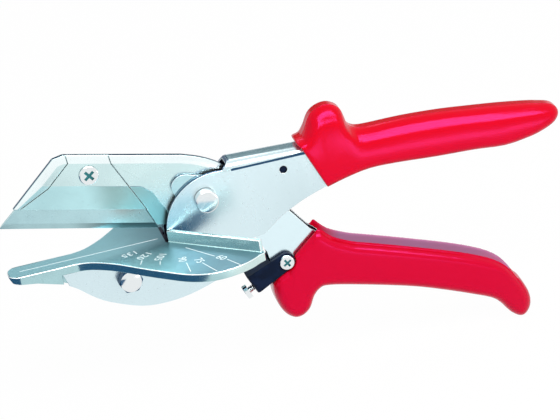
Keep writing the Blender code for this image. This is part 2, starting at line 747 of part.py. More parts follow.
def lower_plate_outline():
    """The lower handle's side view, closed. Returns the count of edges from its start to the fold's end too."""
    x, z = lower_plate_reach, lower_plate_height
    nose = placed(lower_nose_shares, 0, x, 0, z)
    top = placed(lower_top_shares, 0, x, 0, z)
    ledge = [(x * lower_ledge_end_share, z * spring_ledge_share)]
    mouth = placed(lower_mouth_shares, 0, x, 0, z)
    front = placed(lower_front_shares, 0, x, 0, z)
    floor = placed(lower_tang_floor_shares, lower_grip_start, lower_tang_length, 0, -lower_fold_depth)
    end_x = lower_grip_start + lower_tang_length
    roof = [(px, pz + lower_tang_height) for px, pz in floor[1:]]
    boss = arc((pivot_x, pivot_z), lower_boss_radius, math.radians(-35), math.radians(-150), 8)
    above = [*smooth([*nose, *top], curve_steps), *ledge, *mouth, *roof]
    below = [(end_x, floor[-1][1] + lower_tang_height), (end_x, floor[-1][1]), *reversed(floor)]
    outline = [*above, *below, *front, *boss]
    first = len(above) + 1
    return outline, first, first + len(floor)


def make_lower_shell(arm, finish):
    """Sheet folded under along its tang, whose plates carry the blade's holder between them."""
    outline, first, last = lower_plate_outline()
    weights = [1 if first <= i < last else 0 for i in range(len(outline))]
    mesh = edged_plate(outline, weights, lower_outer_y, lower_fold_radius, lower_fold_radius, crown_steps)
    shell = thing("lower_handle_shell", mesh, finish, arm)
    raised = inset(outline, [lower_sheet * weight for weight in weights])
    high = lower_plate_height + overrun
    hollow = [(-overrun, high), (lower_grip_start + lower_grip_length, high)]
    hollow += [(lower_grip_start + lower_grip_length, raised[first][1]), *raised[first + 1:last]]
    hollow += [(lower_grip_start, raised[last][1]), (lower_grip_start - overrun, -lower_fold_depth - overrun)]
    hollow += [(-overrun, -lower_fold_depth - overrun)]
    inner_radius = lower_fold_radius - lower_sheet
    count = last - first
    hollow_weights = [1 if 2 <= i < 2 + count else 0 for i in range(len(hollow))]
    shaped(shell, edged_plate(hollow, hollow_weights, lower_inner_y, inner_radius, inner_radius, crown_steps))
    holes = [(x, z, holder_rivet_radius + fit_gap) for x, z in holder_rivet_places().values()]
    holes.append((pivot_x, pivot_z, bush_radius + fit_gap))
    holes.append((stop_screw_x, stop_screw_z, stop_screw_radius + fit_gap))
    bore(shell, holes)


def make_lower_grip(arm, finish):
    """Moulded channel with a finger stop in front and a hooked end, open above."""
    x, stop, depth = lower_grip_start, lower_finger_stop_length, lower_grip_depth
    rear, length = x + stop, lower_grip_length - stop
    under = placed(lower_stop_bottom_shares, x, stop, 0, depth)
    under += placed(lower_grip_bottom_shares, rear, length, 0, depth)
    rim = placed(lower_grip_rim_shares, rear, length, 0, depth)
    rim += placed(lower_mouth_rim_shares, x, stop, 0, depth)
    lip = placed(lower_lip_shares, x, stop, 0, depth)
    outline = smooth([*under, *rim], curve_steps) + lip
    weights = [0 if i >= len(outline) - 3 else 1 for i in range(len(outline))]
    mesh = edged_plate(outline, weights, lower_grip_half_width, grip_crown, grip_edge_inset, crown_steps)
    mesh = narrowed(mesh, rear + length * (1 - grip_narrowing_share), rear + length)
    grip = thing("lower_grip", mesh, finish, arm)
    wide = placed(lower_channel_mouth_shares, x, stop, 0, depth)
    wide += placed(lower_channel_shares, rear, length, 0, depth)
    high = lower_plate_height
    wide += [(wide[-1][0], high), (wide[0][0], high)]
    shaped(grip, plate(wide, -lower_channel_half_width, lower_channel_half_width))
    floor = placed(lower_tang_floor_shares, x, lower_tang_length, 0, -lower_fold_depth)
    end = x + lower_tang_length + fit_gap
    room = [(x - overrun, floor[0][1] - fit_gap), *[(px, pz - fit_gap) for px, pz in floor[1:]]]
    room += [(end, floor[-1][1] - fit_gap), (end, wide[-3][1]), (end, high), (x - overrun, high)]
    count = len(floor)
    room_weights = [1 if i < count else 0 for i in range(len(room))]
    half = lower_outer_y + fit_gap
    shaped(grip, edged_plate(room, room_weights, half, lower_fold_radius, lower_fold_radius, crown_steps))
    reach = lower_grip_half_width + overrun
    shaped(grip, plate(grown(stop_block_outline(), fit_gap), -reach, reach))


def table_half():
    """Half of the table's plan, from the nose round the fan to the tongue, with the distance from the middle as y."""
    nose = arc((nose_round - nose_reach, nose_half_width - nose_round), nose_round, math.pi, math.pi / 2, 6)
    flank = placed(fan_near_shares, 0, nose_reach, 0, fan_half_width)
    rim = placed(fan_rim_shares, 0, fan_reach, fence_end_y, fan_half_width - fence_end_y)
    edge_y = upper_outer_y + fit_gap
    side = fence_thickness / math.sqrt(2)
    tip = (fan_reach, fence_end_y)
    corner = (tip[0] + side, tip[1] + side)
    curve = smooth([(flank[0][0], nose_half_width), *flank[1:], *rim, corner], curve_steps)
    fence = [(tip[0] + side, tip[1] - side), (2 * side, edge_y)]
    inner_y = upper_inner_y - fit_gap
    return [*nose, *curve, *fence, (-fit_gap, edge_y), (-fit_gap, inner_y), (tongue_reach, inner_y)]


def make_anvil(finish):
    """One casting: nose, table with both fans and fences, and the keel that the side plates clamp."""
    half = table_half()
    outline = [(x, -y) for x, y in half] + list(reversed(half))
    anvil = thing("anvil_table", deck(outline, -table_thickness, 0), finish)
    edge_y = upper_outer_y + fit_gap
    side = fence_thickness / math.sqrt(2)
    for way in (-1, 1):
        foot = [
            (0, edge_y), (fan_reach, fence_end_y), (fan_reach + side, fence_end_y - side), (2 * side, edge_y),
        ]
        shaped(anvil, deck([(x, way * y) for x, y in foot], -table_thickness / 2, fence_height), "UNION")
    beam_end = -(lens_reach + fit_gap)
    inner_z = -table_thickness / 2
    beam = [(-nose_reach + nose_round, inner_z), (-nose_reach + nose_round, -table_thickness)]
    beam.append(((beam_end - nose_reach) / 2, -(table_thickness + beam_depth) / 2 + overrun / 4))
    beam += [(beam_end, -beam_depth), (beam_end, inner_z)]
    shaped(anvil, plate(beam, -nose_half_width, nose_half_width), "UNION")
    keel_y = upper_inner_y - fit_gap
    keel = [(beam_end - overrun, inner_z), (beam_end - overrun, table_thickness - beam_depth)]
    keel.append((beam_end, -beam_depth))
    keel += placed(keel_shares, 0, lens_reach, 0, keel_depth) + [(tongue_reach, inner_z)]
    shaped(anvil, plate(keel, -keel_y, keel_y), "UNION")
    front = -nose_reach
    chin = [
        (front - overrun, -table_thickness / 3), (front, -table_thickness / 3),
        (front + nose_round / 4, -table_thickness * 0.8),
        (front + nose_round, -table_thickness), (front + nose_round, -beam_depth), (front - overrun, -beam_depth),
    ]
    shaped(anvil, plate(chin, -nose_half_width - overrun, nose_half_width + overrun))
    bore(anvil, [(anvil_bolt_x, anvil_bolt_z, anvil_bolt_radius + fit_gap)])


def make_anvil_bolt(bolt_finish, nut_finish):
    """A hexagon bolt through both plates and the keel, with a washer and a nut behind."""
    seat = upper_outer_y + fit_gap
    washer_face = seat + anvil_washer_thickness
    nut_seat = washer_face + fit_gap
    nut_face = nut_seat + anvil_nut_height
    corner = anvil_bolt_across_flats / math.sqrt(3)
    flat = anvil_bolt_across_flats / 2
    rim = corner - flat
    centre = (anvil_bolt_x, anvil_bolt_z)
    head = plate(hexagon(centre, anvil_bolt_across_flats), -(seat + anvil_bolt_head_height), -seat)
    bolt = thing("anvil_bolt", head, bolt_finish)
    face = seat + anvil_bolt_head_height
    dome = [
        (0, seat - overrun), (corner + rim, seat - overrun), (corner + rim, face - 2 * rim),
        (corner, face - rim), (flat, face), (0, face),
    ]
    shaped(bolt, across(turned(dome, round_steps), anvil_bolt_x, anvil_bolt_z), "INTERSECT")
    end = nut_face + bolt_end
    shank = [
        (0, -end), (anvil_bolt_radius - bolt_end / 2, -end), (anvil_bolt_radius, bolt_end / 2 - end),
        (anvil_bolt_radius, seat + rim), (0, seat + rim),
    ]
    shaped(bolt, across(turned(shank, small_round_steps), anvil_bolt_x, anvil_bolt_z), "UNION")
    ring = plate(circle(centre, anvil_washer_radius, round_steps), seat, washer_face)
    washer = thing("anvil_washer", ring, nut_finish)
    bore(washer, [(*centre, anvil_bolt_radius + fit_gap)])
    nut = thing("anvil_nut", plate(hexagon(centre, anvil_bolt_across_flats), nut_seat, nut_face), nut_finish)
    shaped(nut, plate(circle(centre, anvil_bolt_radius + fit_gap, small_round_steps), 0, nut_face + overrun))


def stop_axis():
    return Vector((math.cos(stop_arm_angle), math.sin(stop_arm_angle)))


def adjuster_mouth():
    """Where the adjusting screw's axis leaves the end of the stop block's arm."""
    along = stop_axis()
    aside = Vector((-along.y, along.x))
    return Vector((stop_screw_x, stop_screw_z)) + along * stop_arm_length + aside * adjuster_offset


def stop_block_outline():
    """The block's side view, closed: an arm that narrows to the eye round its screw. Its end edge is the last but one."""
    along = stop_axis()
    aside = Vector((-along.y, along.x))
    centre = Vector((stop_screw_x, stop_screw_z))
    far = centre + along * stop_arm_length
    turn = math.atan2(aside.y, aside.x)
    eye = arc(centre, stop_eye_radius, turn, turn + math.pi, 12)
    corners = [far - aside * stop_arm_width / 2, far + aside * stop_arm_width / 2]
    return [*eye, *[(point.x, point.y) for point in corners]]


def make_stop_block(arm, block_finish, screw_finish):
    """A moulded block that straddles the lower handle's plates, held by a cross-head screw and nut."""
    along = stop_axis()
    outline = stop_block_outline()
    weights = [0] * (len(outline) - 2) + [1, 0]
    mesh = edged_plate(outline, weights, stop_half_depth, stop_end_round, stop_end_round, 2)
    block = thing("stop_block", mesh, block_finish, arm)
    x, z = lower_plate_reach, lower_plate_height
    floor_z = -lower_fold_depth
    front = placed(lower_front_shares, 0, x, 0, z)
    foot = (lower_grip_start + lower_tang_floor_shares[0][0] * lower_tang_length, floor_z)
    room = [foot, front[0], front[1], (front[1][0], z), (x + overrun, z), (x + overrun, floor_z)]
    shaped(block, plate(grown(room, fit_gap), -lower_outer_y - fit_gap, lower_outer_y + fit_gap))
    bore(block, [(stop_screw_x, stop_screw_z, stop_screw_radius + fit_gap)])
    mouth = adjuster_mouth()
    hole = [(0, -overrun), (adjuster_radius + fit_gap, -overrun)]
    deep = adjuster_depth + adjuster_travel + fit_gap
    hole += [(adjuster_radius + fit_gap, deep), (0, deep)]
    place = (mouth.x, adjuster_y, mouth.y)
    shaped(block, aimed(turned(hole, small_round_steps), place, (-along.x, 0, -along.y)))
    make_stop_fasteners(arm, screw_finish)
    make_adjuster(arm, screw_finish)


def make_stop_fasteners(arm, finish):
    seat = stop_half_depth + fit_gap
    face = seat + stop_head_height
    rim = stop_head_height / 3
    end = seat + stop_nut_height + bolt_end
    profile = [
        (0, -end), (stop_screw_radius, -end), (stop_screw_radius, seat), (stop_head_radius, seat),
        (stop_head_radius, face - rim), (stop_head_radius - rim, face), (0, face),
    ]
    mesh = across(turned(profile, small_round_steps), stop_screw_x, stop_screw_z)
    screw = thing("stop_block_screw", mesh, finish, arm)
    cross_drive(screw, stop_screw_x, stop_screw_z, -face, stop_head_radius, stop_head_height)
    centre = (stop_screw_x, stop_screw_z)
    mesh = plate(hexagon(centre, stop_nut_across_flats), seat, seat + stop_nut_height)
    nut = thing("stop_block_nut", mesh, finish, arm)
    shaped(nut, plate(circle(centre, stop_screw_radius + fit_gap, small_round_steps), 0, end + overrun))


def make_adjuster(arm, finish):
    """A slotted screw in the end of the stop block's arm, which travels along its own axis when it is turned."""
    mouth = adjuster_mouth()
    along = stop_axis()
    face = adjuster_reach + adjuster_head_height
    profile = [
        (0, -adjuster_depth), (adjuster_radius, -adjuster_depth), (adjuster_radius, adjuster_reach),
        (adjuster_head_radius, adjuster_reach), (adjuster_head_radius, face), (0, face),
    ]
    place = (mouth.x, adjuster_y, mouth.y)
    direction = (along.x, 0, along.y)
    mesh = aimed(turned(profile, small_round_steps), place, direction)
    screw = thing("stop_adjusting_screw", mesh, finish, arm)
    half = adjuster_head_height * slot_width_share / 2
    low = face - adjuster_head_height * slot_depth_share
    reach = adjuster_head_radius + overrun
    slot = deck([(-half, -reach), (half, -reach), (half, reach), (-half, reach)], low, face + overrun)
    shaped(screw, aimed(slot, place, direction))


def main():
    clear_scene()
    chrome = material("chrome_plate", (0.86, 0.90, 0.92), 0.16, 1.0)
    cast = material("satin_casting", (0.60, 0.70, 0.71), 0.38, 1.0)
    blade_steel = material("blade_steel", (0.66, 0.74, 0.75), 0.26, 1.0)
    zinc = material("zinc_plate", (0.80, 0.84, 0.85), 0.24, 1.0)
    spring_steel = material("spring_steel", (0.30, 0.30, 0.32), 0.40, 1.0)
    red = material("red_plastic", (0.80, 0.005, 0.01), 0.22, 0.0)
    black = material("black_plastic", (0.012, 0.014, 0.03), 0.42, 0.0)

    arm = bpy.data.objects.new("blade_side_pivot", None)
    bpy.context.scene.collection.objects.link(arm)
    arm.location = (pivot_x, 0, pivot_z)

    make_upper_shell(chrome)
    make_upper_grip(red)
    make_anvil(cast)
    make_anvil_bolt(zinc, zinc)
    make_pivot(arm, zinc, spring_steel)
    make_spring(arm, spring_steel, black, zinc)
    make_lower_shell(arm, chrome)
    make_lower_grip(arm, red)
    make_holder(arm, cast)
    make_clamp_plate(arm, cast)
    make_clamp_screw(arm, zinc)
    make_small_pins(arm, zinc)
    make_blade(arm, blade_steel)
    make_stop_block(arm, black, zinc)

    arm.rotation_euler = (0, open_angle, 0)


main()
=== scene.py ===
"""Visual model of mitre shears: plated sheet handles with red moulded grips, a cast anvil table with its
angle scale, and a clamped trapezoid blade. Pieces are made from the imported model's nodes, in metres."""

import json
import math

import bmesh
import bpy
from bpy.props import FloatProperty, FloatVectorProperty, IntProperty, PointerProperty
from mathutils import Matrix, Vector


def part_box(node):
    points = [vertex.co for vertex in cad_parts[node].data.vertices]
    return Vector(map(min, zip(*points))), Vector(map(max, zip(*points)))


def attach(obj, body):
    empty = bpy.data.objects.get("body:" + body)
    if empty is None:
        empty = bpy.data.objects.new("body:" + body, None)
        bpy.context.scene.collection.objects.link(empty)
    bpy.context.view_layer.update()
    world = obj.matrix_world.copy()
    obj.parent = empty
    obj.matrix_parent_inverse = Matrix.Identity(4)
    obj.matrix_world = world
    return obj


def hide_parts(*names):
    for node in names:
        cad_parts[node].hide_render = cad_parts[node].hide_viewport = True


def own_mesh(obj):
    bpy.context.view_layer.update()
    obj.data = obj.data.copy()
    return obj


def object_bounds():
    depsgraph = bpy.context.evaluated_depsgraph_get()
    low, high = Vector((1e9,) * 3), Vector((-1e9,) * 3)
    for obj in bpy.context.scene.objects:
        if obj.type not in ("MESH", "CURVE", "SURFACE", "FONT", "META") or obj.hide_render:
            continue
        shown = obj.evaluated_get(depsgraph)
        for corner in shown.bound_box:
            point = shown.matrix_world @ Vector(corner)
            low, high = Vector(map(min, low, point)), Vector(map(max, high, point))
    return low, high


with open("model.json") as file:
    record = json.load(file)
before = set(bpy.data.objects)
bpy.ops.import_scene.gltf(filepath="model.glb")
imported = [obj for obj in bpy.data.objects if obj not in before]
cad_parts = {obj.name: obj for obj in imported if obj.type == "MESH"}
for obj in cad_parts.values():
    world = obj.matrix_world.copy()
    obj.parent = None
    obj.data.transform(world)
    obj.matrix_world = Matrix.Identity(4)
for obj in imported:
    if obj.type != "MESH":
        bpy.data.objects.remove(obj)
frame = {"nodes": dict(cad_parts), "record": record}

bl_info = {
    "name": "Mitre shears",
    "version": (1, 0, 0),
    "blender": (4, 5, 0),
    "location": "3D View > Sidebar > Mitre shears",
    "description": "Builds the visual model of mitre shears piece by piece",
    "category": "Add Mesh",
}

cad_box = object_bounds()
sharp_degrees = 35
to_front = (0, -1, 0)

# What a head or nut is lower than the CAD's, so that its crown doesn't stand out of the CAD solid
crown_room = 0.0001

# How far behind the front of the upper sheet's bead its first edge is scored
bead_lead = 0.0005

# The camera's focal length in millimetres, the place that it looks at, its distance from there, and the
# directions to its back and its right
camera_lens = 276.7
camera_aim = Vector((0.04277, -0.00964, 0.00401))
camera_distance = 1.6
camera_back = Vector((-0.144, -0.909, 0.390))
camera_right = Vector((0.963, -0.220, -0.158))

# The strength at which the world lights the object, the place that the lamps aim at, and each lamp's place,
# width, height and power
world_strength = 0.32
lamp_aim = Vector((0.05, 0, 0))
lamps = {
    "key": ((0.26, -0.84, 0.92), 1.3, 0.50, 17.5),
    "rear": ((-0.2, 0.7, 1.2), 1.2, 0.25, 3.0),
}

# Two opposite corners of the floor, and of each card that is seen only in reflections and gives the metal and
# the plastic darker or brighter tones, with the strength of its light
floor_height = cad_box[0].z - 0.0005
floor_corners = ((-3.0, -3.0, floor_height), (3.0, 3.0, floor_height))
card_height = cad_box[0].z + 0.001
cards = {
    "rear_flag": ((-0.9, 1.2, 0.28), (0.9, 1.2, 0.78), 1.0),
    "left_flag": ((-0.55, -0.35, card_height), (-0.062, 0.30, card_height), 1.0),
    "floor_band": ((0.112, -0.36, card_height), (0.32, -0.25, card_height), 5.5),
}

# The angle scale on the table, in metres from the point where its rays meet. A number has its middle and its
# turn in degrees, and a ray has its start and its end
scale_numbers = [
    ("135", -0.0154, -0.0079, 195), ("120", -0.0107, -0.0125, 215), ("105", -0.0055, -0.0169, 235),
    ("90", 0.0014, -0.0240, 262), ("75", 0.0069, -0.0286, 280), ("60", 0.0149, -0.0307, 300),
]
scale_rays = [
    (-0.0123, -0.0163, -0.0135, -0.0197), (-0.0063, -0.0210, -0.0069, -0.0239),
    (0.0023, -0.0279, 0.0021, -0.0366), (0.0076, -0.0312, 0.0110, -0.0418),
    (0.0048, -0.0141, 0.0130, -0.0280), (0.0166, -0.0334, 0.0200, -0.0412), (-0.0030, 0.0, -0.0560, 0.0),
]

# Each metal's colour, roughness, grain (one number, or X, Y and Z), the grain's strength, and cloud. Where it
# turns to a second colour, that colour and its share follow, and where the change starts and ends on X
metals = {
    "plated_sheet": ("plated_sheet", 0.25, (300, 300, 60), 0.02, 0.02, "plated_sheet", 0.88, 0.028, 0.056),
    # Painted shade and light: darker round the pivot, a little brighter further along X
    "lower_sheet": ("lower_sheet", 0.20, (300, 300, 60), 0.02, 0.02, "plated_sheet", 1.08, 0.012, 0.024),
    # The table's top turns to a painted shade towards the fences
    "table_casting": ("table_cast", 0.36, 900, 0.35, 0.14, "table_rear", 1, -0.026, 0.008),
    "holder_casting": ("holder_cast", 0.28, 700, 0.20, 0.08),
    # Painted reflection and shade: the holder's tapered faces, much darker near the heel
    "holder_low": ("holder_low", 0.30, 700, 0.20, 0.10, "holder_rear", 1, -0.0265, -0.0150),
    "ground_blade": ("blade_steel", 0.24, (1500, 1500, 90), 0.20, 0.12, "blade_rear", 1, -0.0215, -0.0120),
    # The bevels turn near black towards the pivot: a painted reflection
    "ground_bevel": ("bevel_steel", 0.20, (90, 1500, 1500), 0.20, 0.10, "blade_steel", 0.09, -0.036, -0.014),
    "zinc_plate": ("zinc", 0.40, 500, 0.08, 0.08),
    # Painted shade: dark navy for cut edges, the crease below the bead, the holder's gaps, the rivet's foot
    # and the bolt's sides
    "sheet_cut": ("sheet_cut", 0.32, (900, 900, 200), 0.20, 0.20),
    # Painted shade between the plates, on the strip of the casting where they stand, and beside it
    "sheet_inside": ("sheet_inside", 0.52, 700, 0.20, 0.30),
    # Painted reflection: the side walls darker, and lighter again towards the handles
    "casting_side": ("casting_side", 0.20, (500, 500, 900), 0.12, 0.12, "casting_rear", 1, 0.010, 0.022),
    "fence_casting": ("fence_cast", 0.26, (300, 300, 1400), 0.25, 0.10),
    # Painted shade on the fences' backs, which the plates mirror, turning to the holder's colour further
    # along X
    "fence_back": ("fence_back", 0.40, (300, 300, 1400), 0.25, 0.15, "holder_cast", 1, 0.017, 0.024),
    # Painted highlight on rounded edges, the table's top edges and the holder's chamfer
    "worn_edge": ("worn_edge", 0.18, 900, 0.05, 0.06),
    # Painted shade in the screws' drives
    "drive_recess": ("recess", 0.40, 900, 0.20, 0.25),
    "oiled_steel": ("oiled_steel", 0.32, 800, 0.12, 0.20),
}

# Each grip's body, and how its outside is drawn in: the shoulder's share of the height, its greatest depth
# and its slope, the share of the bulge below it, and half the width of the core
grips = {
    "upper_grip": ("anvil_side", 0.32, 0.0066, 0.49, 0.085, 0.002),
    "lower_grip": ("blade_side", 0.14, 0.0026, 0.75, 0.05, 0.0046),
}


def colour(name, description, value):
    return FloatVectorProperty(
        name=name, description=description, subtype="COLOR", size=3, min=0, max=1, default=value
    )


def length(name, description, value):
    return FloatProperty(
        name=name, description=description, subtype="DISTANCE", unit="LENGTH", precision=5, default=value
    )


class ShearsColours(bpy.types.PropertyGroup):
    plated_sheet: colour("Plated sheet", "Chrome on the handles' folded sheet", (0.69, 0.84, 0.885))
    # Painted shade and light: the same chrome as the upper sheet, painted darker round the pivot and, by its
    # turn, a little brighter further along X
    lower_sheet: colour("Lower sheet, front", "The lower handle's sheet round the pivot", (0.52, 0.77, 0.82))
    # Painted shade: dark navy for the sheets' cut edges, the crease below the bead, the walls of the holder's
    # gaps, the rivet's foot and the bolt's sides
    sheet_cut: colour("Cut edge", "Blued edge where the sheet was cut", (0.03, 0.09, 0.18))
    # Painted shade: near black for the shade between the plates and on the casting where they stand
    sheet_inside: colour("Sheet inside", "Oil and dust between the plates", (0.018, 0.018, 0.034))
    table_cast: colour("Table casting", "Satin casting of the anvil's nose", (0.44, 0.78, 0.85))
    # Painted shade: the table's top darker towards the fences, where their shade and reflection fall
    table_rear: colour("Table casting, rear", "The same towards the fences, rubbed", (0.138, 0.265, 0.32))
    # Painted reflection: the table's side walls are its casting painted darker, turning lighter towards the
    # handles
    casting_side: colour("Casting side", "Smooth skin on the table's side walls", (0.44, 0.67, 0.70))
    casting_rear: colour("Casting side, rear", "The same towards the handles", (0.66, 0.82, 0.80))
    fence_cast: colour("Fence", "Milled faces of the fences", (0.70, 0.98, 0.98))
    # Painted shade: the fences' backs face the plates and are painted dark, so that the plates mirror a dark
    # patch
    fence_back: colour("Fence's back", "Blued backs of the fences", (0.03, 0.14, 0.25))
    holder_cast: colour("Holder casting", "Satin casting of the blade holder", (0.65, 0.84, 0.845))
    # Painted reflection and shade: the holder's casting a little darker on its tapered faces, and much darker
    # near the heel
    holder_low: colour("Holder, low", "Tapered lower faces of the holder", (0.54, 0.84, 0.87))
    holder_rear: colour("Holder, low rear", "The same faces near the heel", (0.32, 0.50, 0.495))
    # Painted highlight: bright on the rounded edges of sheets, blade and table, and on the holder's chamfer
    worn_edge: colour("Worn edge", "Bright metal along rubbed edges", (0.90, 0.99, 1.00))
    blade_steel: colour("Blade steel", "Ground steel of the blade", (0.47, 0.70, 0.74))
    # The blade steel turns darker towards the pivot
    blade_rear: colour("Blade steel, rear", "The same towards the pivot, oily", (0.36, 0.415, 0.405))
    bevel_steel: colour("Bevel steel", "The same on the ground bevels", (0.3995, 0.595, 0.629))
    zinc: colour("Zinc plate", "Screws, rivet, bolt and nuts", (0.74, 0.90, 0.92))
    # Painted shade in the screws' drives
    recess: colour("Drive recess", "Oil in the screws' drives", (0.05, 0.22, 0.24))
    oiled_steel: colour("Oiled steel", "Spring, bush and hidden pins", (0.16, 0.17, 0.19))
    # Painted light and shade: one red plastic, lit at the top and painted darker lower down, which takes in
    # most of the lower grip
    grip_red: colour("Grip red", "Moulded plastic of the upper grip", (0.63, 0.001, 0.001))
    grip_red_painted_shade: colour("Grip red, low", "The same on the lower grip, cooler", (0.57, 0.001, 0.012))
    # Painted reflection: a pale lilac sheen on the lower grip's inner wall
    grip_painted_sheen: colour("Grip bloom", "Pale bloom in the lower grip's channel", (0.45, 0.20, 0.35))
    block_black: colour("Block black", "Moulded stop block and spring seats", (0.003, 0.008, 0.024))
    scale_ink: colour("Scale ink", "Numbers and rays of the angle scale", (0.86, 0.95, 0.96))
    floor: colour("Floor", "The plain floor", (0.90, 0.90, 0.90))
    left_flag: colour("Left flag", "Dim card at the left, seen only in reflections", (0.04, 0.125, 0.24))
    rear_flag: colour("Rear flag", "Dim card behind, seen only in reflections", (0.09, 0.18, 0.21))
    floor_band: colour("Floor band", "Bright card in front, seen only in reflections", (1.0, 1.0, 1.0))


class ShearsSizes(bpy.types.PropertyGroup):
    sheet_edge: length("Sheet edge", "Round on the edges of the folded sheet", 0.00010)
    bead_front_x: length("Bead front", "Where the upper sheet's folded bead starts on X", 0.0275)
    bead_front_z: length("Bead top", "Height of the bead's front end", 0.0257)
    bead_fall: FloatProperty(name="Bead fall", description="Slope of the crease below it", default=0.008)
    bead_depth: length("Bead depth", "Height from the bead's top to the crease below it", 0.0040)
    bead_swell: FloatProperty(name="Bead swell", description="Share by which the bead is wider", default=0.11)
    # The strip where the plates stand on the casting, and the patch beside it, carry a painted shade
    slot_front_x: length("Slot front", "Where the casting is cut for the plates, on X", -0.0009)
    slot_half_width: length("Slot half width", "Half the width of that cut", 0.00495)
    # How far the painted shade beside that strip reaches on Y, and where it ends on X
    shade_reach: length("Oil reach", "How far oil has spread from the cut on Y", 0.0105)
    shade_rear_x: length("Oil rear", "Where that oil ends, on X", 0.0004)
    table_skin: length("Table skin", "How far above the table's top the fences begin", 0.0003)
    fence_skin: length("Fence skin", "Depth of the fences' milled faces", 0.0012)
    channel_half_width: length("Channel half width", "Half the width of the lower grip's channel", 0.0043)
    # Where the painted sheen in the channel starts on X, and how far it takes to fade in
    sheen_start_x: length("Bloom start", "Where the channel starts to turn pale, on X", 0.0580)
    sheen_fade: length("Bloom fade", "How far it takes to turn pale", 0.008)
    cast_edge: length("Casting edge", "Round on the edges of the castings", 0.00030)
    blade_edge: length("Blade edge", "Round on the edges of the blade's blunt sides", 0.00005)
    block_edge: length("Block edge", "Round on the edges of the stop block", 0.00025)
    grip_grain: length("Grip mesh", "Side of one face of the grips", 0.00045)
    number_height: length("Number height", "Height of the scale's numbers", 0.0031)
    ray_width: length("Ray width", "Width of the scale's rays", 0.00035)
    ink_height: length("Ink height", "How far the scale's ink stands up", 0.00003)


class ShearsFasteners(bpy.types.PropertyGroup):
    sides: IntProperty(name="Sides", description="Faces round each turned part", default=48, min=12)
    edge_round: length("Edge round", "Round on the rim of a screw head", 0.00030)
    rivet_round: length("Rivet round", "Round on the rim of the pivot rivet", 0.00055)
    rivet_head: length("Rivet head", "Height of the pivot rivet's head", 0.0033)
    rivet_far: length("Rivet far head", "Height of its head at the far end", 0.0015)
    rivet_crown: length("Rivet crown", "How far the middle of the rivet's face stands up", 0.00006)
    crown: length("Crown", "How far the middle of any other head's face stands up", 0.0001)
    clamp_head: length("Clamp screw head", "Height of the clamp screw's head", 0.0007)
    stop_head: length("Stop screw head", "Height of the stop block's screw head", 0.0013)
    adjuster_head: length("Adjuster head", "Height of the adjusting screw's head", 0.0019)
    bolt_head: length("Bolt head", "Height of the anvil bolt's head", 0.0039)
    nut_flats: length("Nut flats", "Width of the stop block's nut across its flats", 0.0055)
    thread_pitch: length("Thread pitch", "Distance from one thread to the next", 0.00070)
    thread_depth: length("Thread depth", "How deep the threads are cut", 0.00022)
    spring_wire: length("Spring wire", "Thickness of the opening spring's wire", 0.0008)
    spring_radius: length("Spring radius", "Radius of the spring at the wire's middle", 0.00205)
    spring_turns: IntProperty(name="Spring turns", description="Turns of the spring", default=5, min=2)


def settings():
    return bpy.context.scene.shears


class Value:
    """One output of a node. Sums and products of it add the Math nodes that work them out."""

    def __init__(self, tree, socket):
        self.tree = tree
        self.socket = socket

    def other(self, name):
        return Value(self.tree, self.socket.node.outputs[name])

    def maths(self, operation, *values):
        return self.tree.add("ShaderNodeMath", dict(enumerate(values)), operation=operation)

    def __add__(self, right):
        return self.maths("ADD", self, right)

    __radd__ = __add__

    def __sub__(self, right):
        return self.maths("SUBTRACT", self, right)

    def __rsub__(self, left):
        return self.maths("SUBTRACT", left, self)

    def __mul__(self, right):
        return self.maths("MULTIPLY", self, right)

    __rmul__ = __mul__

    def __truediv__(self, right):
        return self.maths("DIVIDE", self, right)

    def __neg__(self):
        return self.maths("MULTIPLY", self, -1.0)

    def between(self, low, high):
        """0 below low, 1 above high, and a smooth step between them."""
        limits = {"Value": self, "From Min": low, "From Max": high}
        return self.tree.add("ShaderNodeMapRange", limits, interpolation_type="SMOOTHSTEP")


class Tree:
    """Adds nodes to one node tree: settings first, then the values and links of the sockets."""

    def __init__(self, group):
        self.group = group

    def add(self, kind, inputs=None, output=0, **settings):
        node = self.group.nodes.new(kind)
        for name, value in settings.items():
            if name == "items":
                for _ in range(value - len(node.index_switch_items)):
                    node.index_switch_items.new()
            else:
                setattr(node, name, value)
        for name, value in (inputs or {}).items():
            for part in value if isinstance(value, list) else [value]:
                self.fill(node.inputs[name], part)
        return Value(self, node.outputs[output])

    def fill(self, socket, value):
        if isinstance(value, Value):
            self.group.links.new(value.socket, socket)
        else:
            socket.default_value = value

    def vector(self, x=0.0, y=0.0, z=0.0):
        return self.add("ShaderNodeCombineXYZ", {"X": x, "Y": y, "Z": z})

    def mixed(self, factor, first, second, blend="MIX"):
        """A colour between two others."""
        first, second = [(*c, 1.0) if isinstance(c, tuple) else c for c in (first, second)]
        inputs = {0: factor, 6: first, 7: second}
        return self.add("ShaderNodeMix", inputs, 2, data_type="RGBA", blend_type=blend)

    def place(self, axis):
        """The Object coordinate along one axis."""
        place = self.add("ShaderNodeTexCoord").other("Object")
        return self.add("ShaderNodeSeparateXYZ", {"Vector": place}).other(axis)

    def pattern(self, scale, detail, roughness):
        """Noise on Object coordinates, stretched by a scale per axis, or one for all."""
        place = self.add("ShaderNodeTexCoord").other("Object")
        scale = scale if isinstance(scale, tuple) else (scale, scale, scale)
        stretched = self.add("ShaderNodeMapping", {"Vector": place, "Scale": scale})
        wanted = {"Vector": stretched, "Scale": 1.0, "Detail": detail, "Roughness": roughness}
        return self.add("ShaderNodeTexNoise", wanted)


def darker(shade, share):
    return tuple(part * share for part in shade)


def shade_named(name):
    return tuple(getattr(settings().colours, name))


